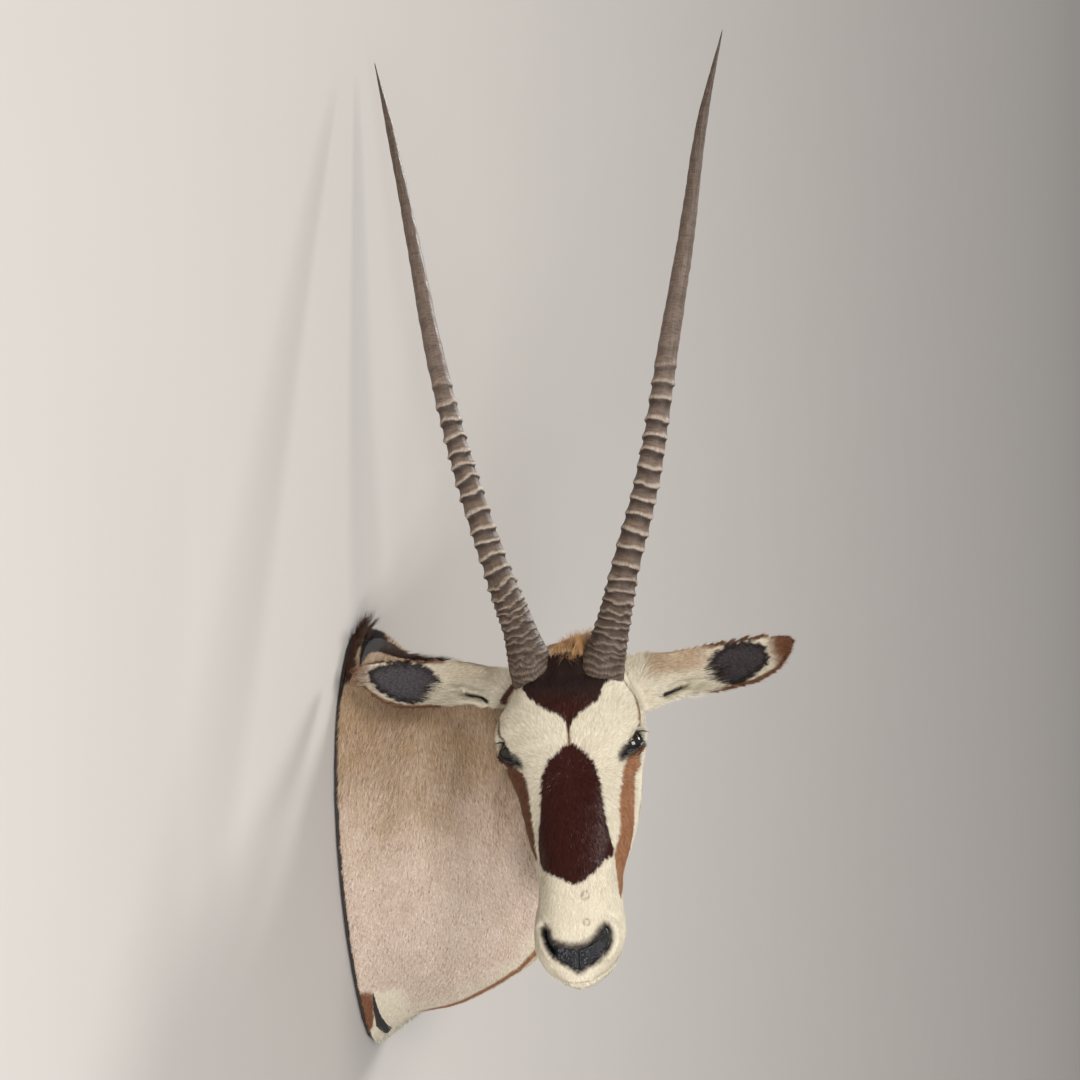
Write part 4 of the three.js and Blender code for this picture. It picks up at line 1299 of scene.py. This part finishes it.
def horn(name, keys, rings, chevron, seed):
    """One horn sheath. chevron is the angle round it where some lower rings bend into a V."""
    line, radius, gone = horn_line(keys)
    ring_top = ROOT_LENGTH + rings[-1] + 8
    s = np.concatenate([np.arange(5, ring_top, RING_ROW),
                        np.arange(ring_top, gone[-1] - 1, PLAIN_ROW)])
    middle = np.stack([np.interp(s, gone, line[:, k]) for k in range(3)], axis=1)
    along = unit(np.gradient(middle, axis=0))
    mean = np.interp(s, gone, radius)[:, None]
    side = unit(np.cross(HEAD_AXES[2], along))
    front = np.cross(along, side)
    angle = (np.arange(HORN_AROUND) / HORN_AROUND * 2 * math.pi)[None]
    height = (s - ROOT_LENGTH)[:, None]
    knob = np.stack(np.broadcast_arrays(np.cos(angle) * 12, np.sin(angle) * 12, height * 0.55),
                    axis=-1)
    flat = knob.reshape(-1, 3)
    waves = ripple(flat, 22, seed).reshape(knob.shape[:2])
    small = ripple(flat, 7, seed + 1).reshape(knob.shape[:2])
    fine = ripple(flat * [3.2, 3.2, 0.25], 5, seed + 2).reshape(knob.shape[:2])
    spread = smooth(0, 150, height)
    off_v = np.abs((angle - chevron + math.pi) % (2 * math.pi) - math.pi)
    bend = 3.6 * np.clip(1 - off_v / 0.8, 0, 1) * hump(height - 88, 42)
    dip = 0.22 * mean * np.cos(angle) * (1 - 0.4 * spread)
    rough = smooth(170, 60, height)
    at = height + dip + bend + waves * (1.0 + 1.3 * spread) + (0.6 + 1.1 * rough) * small
    profile, groove = ring_profile(at, rings)
    fade = smooth(rings[-1] + 40, rings[-1] - 60, height)
    lip = (0.4 + 0.85 * smooth(10, 130, height)) * (0.1 + 0.9 * fade) * np.minimum(1, mean / 10)
    lip = lip * np.clip(1 + 0.35 * waves + 0.35 * small, 0.35, 1.8)
    wider = 1.03 + 0.09 * smooth(75, 5, height)
    ledges = 0.42 * np.sin(at * 2.6 + 3 * waves) * smooth(150, 20, height)
    out = mean * wider + lip * profile + ledges
    out = out + (0.25 * small + (0.16 + 0.12 * rough) * fine) * np.minimum(1, mean / 8)
    out = np.maximum(out, 0.3)
    spokes = (front[:, None] * np.cos(angle)[..., None] + side[:, None] * np.sin(angle)[..., None])
    rings_at = middle[:, None] + spokes * out[..., None] * MM
    piece = tube(name, rings_at, middle[0], line[-1])
    smooth_shading(piece)
    # groove and lip carry the rings' painted shade and painted highlight to the material
    marks = {"groove": groove * (0.25 + 0.75 * fade), "lip": np.clip(profile, 0, 1) * fade,
             "height": np.broadcast_to(height / 830, profile.shape)}
    for mark, values in marks.items():
        store(piece.data, mark, np.concatenate([[values[0, 0]], values.ravel(),
                                                [values[-1, 0]]]))
    grain = np.stack(np.broadcast_arrays(np.cos(angle) * mean, np.sin(angle) * mean, height),
                     axis=-1).reshape(-1, 3)
    grain = np.vstack([grain[:1], grain, grain[-1:]])
    attribute = piece.data.attributes.new("grain_place", "FLOAT_VECTOR", "POINT")
    attribute.data.foreach_set("vector", grain.astype(np.float32).ravel())
    HORN_ROOTS[name] = (middle[:130], (mean * wider)[:130, 0] * MM)
    return piece


def horn_material():
    """Horn sheath, as dried: keratin fibres lengthwise, grey-brown and dusty, with painted shade
    in the grooves under the ring lips and painted highlights on the lips, and smoother, darker and
    lightly rubbed to a shine above."""
    material, tree, out = new_material("dried gemsbok horn sheath")
    height, groove, lip = (add(tree, "Attribute", attribute_name=name).outputs["Fac"]
                           for name in ("height", "groove", "lip"))
    place = add(tree, "Attribute", attribute_name="grain_place").outputs["Vector"]
    long_way = add(tree, "Mapping", {"Vector": place, "Scale": (1.0, 1.0, 0.035)}).outputs[0]
    fibres = add(tree, "TexNoise", {"Vector": long_way, "Scale": 1.1, "Detail": 5.0,
                                    "Roughness": 0.65}).outputs["Fac"]
    cross_way = add(tree, "Mapping", {"Vector": place, "Scale": (0.12, 0.12, 1.0)}).outputs[0]
    growth = add(tree, "TexNoise", {"Vector": cross_way, "Scale": 0.75, "Detail": 4.0,
                                    "Roughness": 0.6}).outputs["Fac"]
    blotch = add(tree, "TexNoise", {"Vector": place, "Scale": 0.05, "Detail": 3.0}).outputs["Fac"]
    ramp = add(tree, "ValToRGB", {0: height})
    stops = ramp.color_ramp.elements
    for at, colour in ((0.0, "#3a291c"), (0.06, "#3f2e22"), (0.2, "#615043"), (0.46, "#6b5b50"),
                       (0.75, "#52443a")):
        stop = stops.new(at)
        stop.color = linear(colour)
    stops.remove(stops[0])
    stops[-1].color = linear("#3f3029")
    colour = ramp.outputs["Color"]
    for factor, low, high, tone in ((fibres, 0.45, 0.75, "#8f7f70"),
                                    (growth, 0.46, 0.62, "#33281f"),
                                    (blotch, 0.5, 0.8, "#5d5049")):
        amount = add(tree, "MapRange", {"Value": factor, "From Min": low, "From Max": high,
                                        "To Max": 0.55}).outputs[0]
        colour = add(tree, "Mix", {0: amount, 6: colour, 7: linear(tone)},
                     data_type="RGBA").outputs[2]
    # painted highlight: the ring lips of the upper horn are painted pale, broken up by the fibres
    upper = add(tree, "MapRange", {"Value": height, "From Min": 0.04, "From Max": 0.2,
                                   "To Min": 0.2, "To Max": 0.8}).outputs[0]
    highlight_streaks = add(tree, "MapRange", {"Value": fibres, "From Min": 0.35, "From Max": 0.6,
                                  "To Min": 0.35}).outputs[0]
    pale = add(tree, "Math", {0: lip, 1: upper}, operation="MULTIPLY").outputs[0]
    pale = add(tree, "Math", {0: pale, 1: highlight_streaks}, operation="MULTIPLY").outputs[0]
    colour = add(tree, "Mix", {0: pale, 6: colour, 7: linear("#b5a797")},
                 data_type="RGBA").outputs[2]
    # painted shade: the grooves under the ring lips are painted dark
    painted_groove_shade = add(tree, "Math", {0: groove, 1: 0.85}, operation="MULTIPLY").outputs[0]
    colour = add(tree, "Mix", {0: painted_groove_shade, 6: colour, 7: linear("#261c16")},
                 data_type="RGBA").outputs[2]
    rough = add(tree, "MapRange", {"Value": height, "From Min": 0.3, "From Max": 0.6,
                                   "To Min": 0.55, "To Max": 0.4}).outputs[0]
    relief = add(tree, "Math", {0: growth, 1: fibres}, operation="ADD").outputs[0]
    bump = add(tree, "Bump", {"Height": relief, "Strength": 0.6, "Distance": 0.5 * MM})
    keratin = add(tree, "BsdfPrincipled", {"Base Color": colour, "Roughness": rough, "IOR": 1.54,
                                           "Specular IOR Level": 0.22,
                                           "Normal": bump.outputs[0]})
    tree.links.new(keratin.outputs[0], out.inputs["Surface"])
    return material


# ---------------------------------------------------------------- eyes, lids and lashes

def glass_eye(name):
    """A taxidermist's glass eye: a ball with a slightly domed front, flattened behind."""
    middle, axes = eye_frame(name)
    bpy.ops.object.select_all(action="DESELECT")
    bpy.ops.mesh.primitive_uv_sphere_add(segments=64, ring_count=40, radius=EYE_RADIUS)
    piece = bpy.context.object
    piece.name = piece.data.name = f"{name}_glass_eye"
    local = coordinates(piece.data)
    off = np.hypot(local[:, 0], local[:, 1])
    local[:, 2] = np.where(local[:, 2] < 0, 0.45 * local[:, 2],
                           local[:, 2] + 0.7 * hump(off, 9))
    store(piece.data, "slit_way", local[:, 0])
    store(piece.data, "up_way", local[:, 1])
    move_to(piece, from_head(middle + local @ axes))
    clean_mesh(merge=False, outwards=True)
    smooth_shading(piece)
    return piece


def glass_material():
    """Painted glass eye: clear polished glass over a deep brown iris with a black pupil that
    lies lengthwise, as an antelope's does."""
    material, tree, out = new_material("painted glass eye")
    slit_way = add(tree, "Attribute", attribute_name="slit_way").outputs["Fac"]
    up_way = add(tree, "Attribute", attribute_name="up_way").outputs["Fac"]
    flat = add(tree, "CombineXYZ", {0: slit_way, 1: up_way}).outputs[0]
    pupil_way = add(tree, "Mapping", {"Vector": flat, "Scale": (1 / 8.5, 1 / 4.5, 1.0)})
    reach = add(tree, "VectorMath", {0: pupil_way.outputs[0]}, operation="LENGTH").outputs[1]
    edge = add(tree, "MapRange", {"Value": reach, "From Min": 0.9, "From Max": 1.15}).outputs[0]
    streaks = add(tree, "TexNoise", {"Vector": flat, "Scale": 0.9, "Detail": 4.0}).outputs["Fac"]
    iris = add(tree, "Mix", {0: streaks, 6: linear("#0e0705"), 7: linear("#22130c")},
               data_type="RGBA").outputs[2]
    colour = add(tree, "Mix", {0: edge, 6: linear("#050608"), 7: iris},
                 data_type="RGBA").outputs[2]
    glass = add(tree, "BsdfPrincipled", {"Base Color": colour, "Roughness": 0.04, "IOR": 1.52})
    tree.links.new(glass.outputs[0], out.inputs["Surface"])
    return material


LID_SHARES = (0.0, 0.02, 0.08, 0.16, 0.27, 0.4, 0.55, 0.7, 0.85, 1.0)
SLIT_HALF = 14.5  # half the length of the opening between the lids
RAY_START = 60  # mm in front of an eye's middle, outside the hide


def eyelids(name, hide):
    """Lids: a rolled dark margin on the glass that runs out under the hair of the face."""
    middle, axes = eye_frame(name)
    tree = BVHTree.FromObject(hide, bpy.context.evaluated_depsgraph_get())
    outward = Vector(axes[2] @ HEAD_AXES)
    angles = np.arange(96) / 96 * 2 * math.pi
    cos, sin = np.cos(angles), np.sin(angles)
    slit_a = SLIT_HALF * cos - 1.0
    slit_b = 6.3 + 4.9 * np.sign(sin) * np.abs(sin) ** 1.2 - 1.0 * cos
    edge_a = np.where(cos > 0, 27.0, 25.0) * cos
    edge_b = 1.0 + 20.5 * sin
    skin = []
    for a, b in zip(edge_a, edge_b):
        start = Vector(from_head(middle + np.array([a, b, RAY_START]) @ axes))
        hit = tree.ray_cast(start, -outward)[0]
        skin.append(RAY_START - (start - hit).length / MM if hit else 4.0)
    skin = np.array(skin)
    rings = []
    for share in LID_SHARES:
        a = slit_a + (edge_a - slit_a) * share
        b = slit_b + (edge_b - slit_b) * share
        radius = 16.8 if share == 0 else 18.7 + 1.9 * smooth(0.0, 0.16, share)
        ball = np.sqrt(np.maximum(radius ** 2 - a ** 2 - b ** 2, 4.0))
        blend = smooth(0.3, 0.95, share)
        wrinkle = (0.35 * math.sin(share * 26) * smooth(0.08, 0.2, share)
                   * smooth(0.8, 0.5, share))
        c = ball * (1 - blend) + (skin - 0.8 * share) * blend + wrinkle
        rings.append(from_head(middle + np.stack([a, b, c], axis=1) @ axes))
    rings.append(from_head(middle + np.stack([edge_a, edge_b, skin - 4], axis=1) @ axes))
    rings = np.asarray(rings)
    piece = grid_piece(f"{name}_eyelids", np.concatenate([rings, rings[:, :1]], axis=1))
    clean_mesh(merge=True, outwards=False)
    apply_modifier(piece, "SUBSURF", levels=1, render_levels=1)
    if np.mean(vertex_normals(piece.data) @ (axes[2] @ HEAD_AXES)) < 0:
        piece.data.flip_normals()
    smooth_shading(piece)
    return piece


def eyelashes(count, seed):
    """Long black lashes along the upper lids, thickest towards the outer corner."""
    chance = np.random.default_rng(seed)
    roots, normals, lies = [], [], []
    for name in EYES:
        middle, axes = eye_frame(name)
        angles = np.radians(chance.uniform(90, 178, count))
        a, b = SLIT_HALF * np.cos(angles) - 1, 5.4 * np.sin(angles) ** 1.2 + 7.3
        c = np.sqrt(np.maximum(19.6 ** 2 - a ** 2 - b ** 2, 4))
        roots.append(from_head(middle + np.stack([a, b, c], axis=1) @ axes))
        lean = np.stack([-0.45 + 0.2 * a / 18, 0.1 + 0 * a, 0.9 + 0 * a], axis=1)
        lies.append(unit(lean) @ axes @ HEAD_AXES)
        normals.append(np.tile(-axes[1] @ HEAD_AXES, (count, 1)))
    roots, normals, lies = (np.concatenate(rows) for rows in (roots, normals, lies))
    return grow("eyelashes", roots, normals, lies, 13, width=0.42, lift=0.1, droop=-0.45,
                parts=only(len(roots), charcoal=1.0), steps=4, seed=seed, sink=0.0)


# ---------------------------------------------------------------- board and hardware

def board_material():
    """Birch plywood with a blackened edge: plies of 1.5 mm across its thickness, a plain face
    with long grain, and thin black stain."""
    material, tree, out = new_material("black-stained birch plywood")
    place = add(tree, "TexCoord").outputs["Object"]
    stretched = add(tree, "Mapping", {"Vector": place, "Scale": (60.0, 60.0, 4.0)}).outputs[0]
    grain = add(tree, "TexNoise", {"Vector": stretched, "Scale": 1.6, "Detail": 6.0})
    plies = add(tree, "TexWave", {"Vector": place, "Scale": 1 / (3.0 * MM * 6.28),
                                  "Distortion": 0.6}, bands_direction="Y")
    wood = add(tree, "Mix", {0: grain.outputs["Fac"], 6: linear("#8a6c4c"),
                             7: linear("#b3946e")}, data_type="RGBA").outputs[2]
    facing = add(tree, "SeparateXYZ", {0: add(tree, "NewGeometry").outputs["Normal"]})
    flat = add(tree, "MapRange", {"Value": facing.outputs["Y"], "From Min": 0.6,
                                  "From Max": 0.9}).outputs[0]
    stain = add(tree, "Mix", {0: plies.outputs["Fac"], 6: linear("#14110f"),
                              7: linear("#241d19")}, data_type="RGBA").outputs[2]
    colour = add(tree, "Mix", {0: flat, 6: stain, 7: wood}, data_type="RGBA").outputs[2]
    bump = add(tree, "Bump", {"Height": grain.outputs["Fac"], "Strength": 0.3,
                              "Distance": 0.3 * MM})
    board = add(tree, "BsdfPrincipled", {"Base Color": colour, "Roughness": 0.62,
                                         "Normal": bump.outputs[0]})
    tree.links.new(board.outputs[0], out.inputs["Surface"])
    return material


def steel_material():
    """Zinc-plated mild steel: bright, slightly blue, with fine brushing marks and dulled
    patches of a few millimetres."""
    material, tree, out = new_material("zinc-plated mild steel")
    place = add(tree, "TexCoord").outputs["Object"]
    marks = add(tree, "Mapping", {"Vector": place, "Scale": (40.0, 40.0, 900.0)}).outputs[0]
    brushed = add(tree, "TexNoise", {"Vector": marks, "Scale": 3.0, "Detail": 3.0})
    dull = add(tree, "TexNoise", {"Vector": place, "Scale": 1 / (6 * MM), "Detail": 3.0})
    colour = add(tree, "Mix", {0: dull.outputs["Fac"], 6: linear("#9da1a4"),
                               7: linear("#c9cbcb")}, data_type="RGBA").outputs[2]
    rough = add(tree, "MapRange", {"Value": brushed.outputs["Fac"], "To Min": 0.28,
                                   "To Max": 0.48}).outputs[0]
    plate = add(tree, "BsdfPrincipled", {"Base Color": colour, "Roughness": rough,
                                         "Metallic": 1.0})
    tree.links.new(plate.outputs[0], out.inputs["Surface"])
    return material


# ---------------------------------------------------------------- the mount

hide = build_hide()
sheaths = {
    "right_horn": horn("right_horn_sheath", RIGHT_HORN, RIGHT_RINGS, chevron=0.2, seed=41),
    "left_horn": horn("left_horn_sheath", LEFT_HORN, LEFT_RINGS, chevron=2.4, seed=51),
}
glass_eyes = {name: glass_eye(name) for name in EYES}
lids = [eyelids(name, hide) for name in EYES]

SKIN_SHADE, SKIN_ALONG = 0.4, 0.25  # the skin takes the colour of a hair near its root, with its painted shade deep in the coat
hair = coat_material()
for piece in [hide] + lids:
    points, normals = coordinates(piece.data), vertex_normals(piece.data)
    store_coat(piece.data, coat(points, normals), np.full(len(points), SKIN_SHADE),
               np.full(len(points), SKIN_ALONG))

FEWER = 1
skin = surface_of([hide] + lids)
hairs = [
    face_hair(skin, 190000 // FEWER, seed=61),
    neck_hair("neck_hair_1", skin, 185000 // FEWER, seed=62),
    neck_hair("neck_hair_2", skin, 185000 // FEWER, seed=63),
    ear_hair(skin, 120000 // FEWER, seed=64),
    mane(skin, 19000, seed=65),
    nape_tuft(skin, 6000, seed=66),
    ear_fringes(skin, 3600, seed=67),
    wall_tufts(skin, 1500, seed=68),
    eyelashes(110, seed=69),
]

finish_piece(hide, "hide", hair, "cape")
for piece in lids + hairs:
    finish_piece(piece, "hide", hair)
keratin = horn_material()
for node, piece in sheaths.items():
    finish_piece(piece, "horn", keratin, node)
glass = glass_material()
for name, piece in glass_eyes.items():
    finish_piece(piece, "eye_glass", glass, f"{name}_eye")

ply, steel = board_material(), steel_material()
for name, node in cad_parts.items():
    if name == "backboard":
        node.material_slots[0].material = ply
    elif name.startswith(("hanger", "form")):
        node.material_slots[0].material = steel
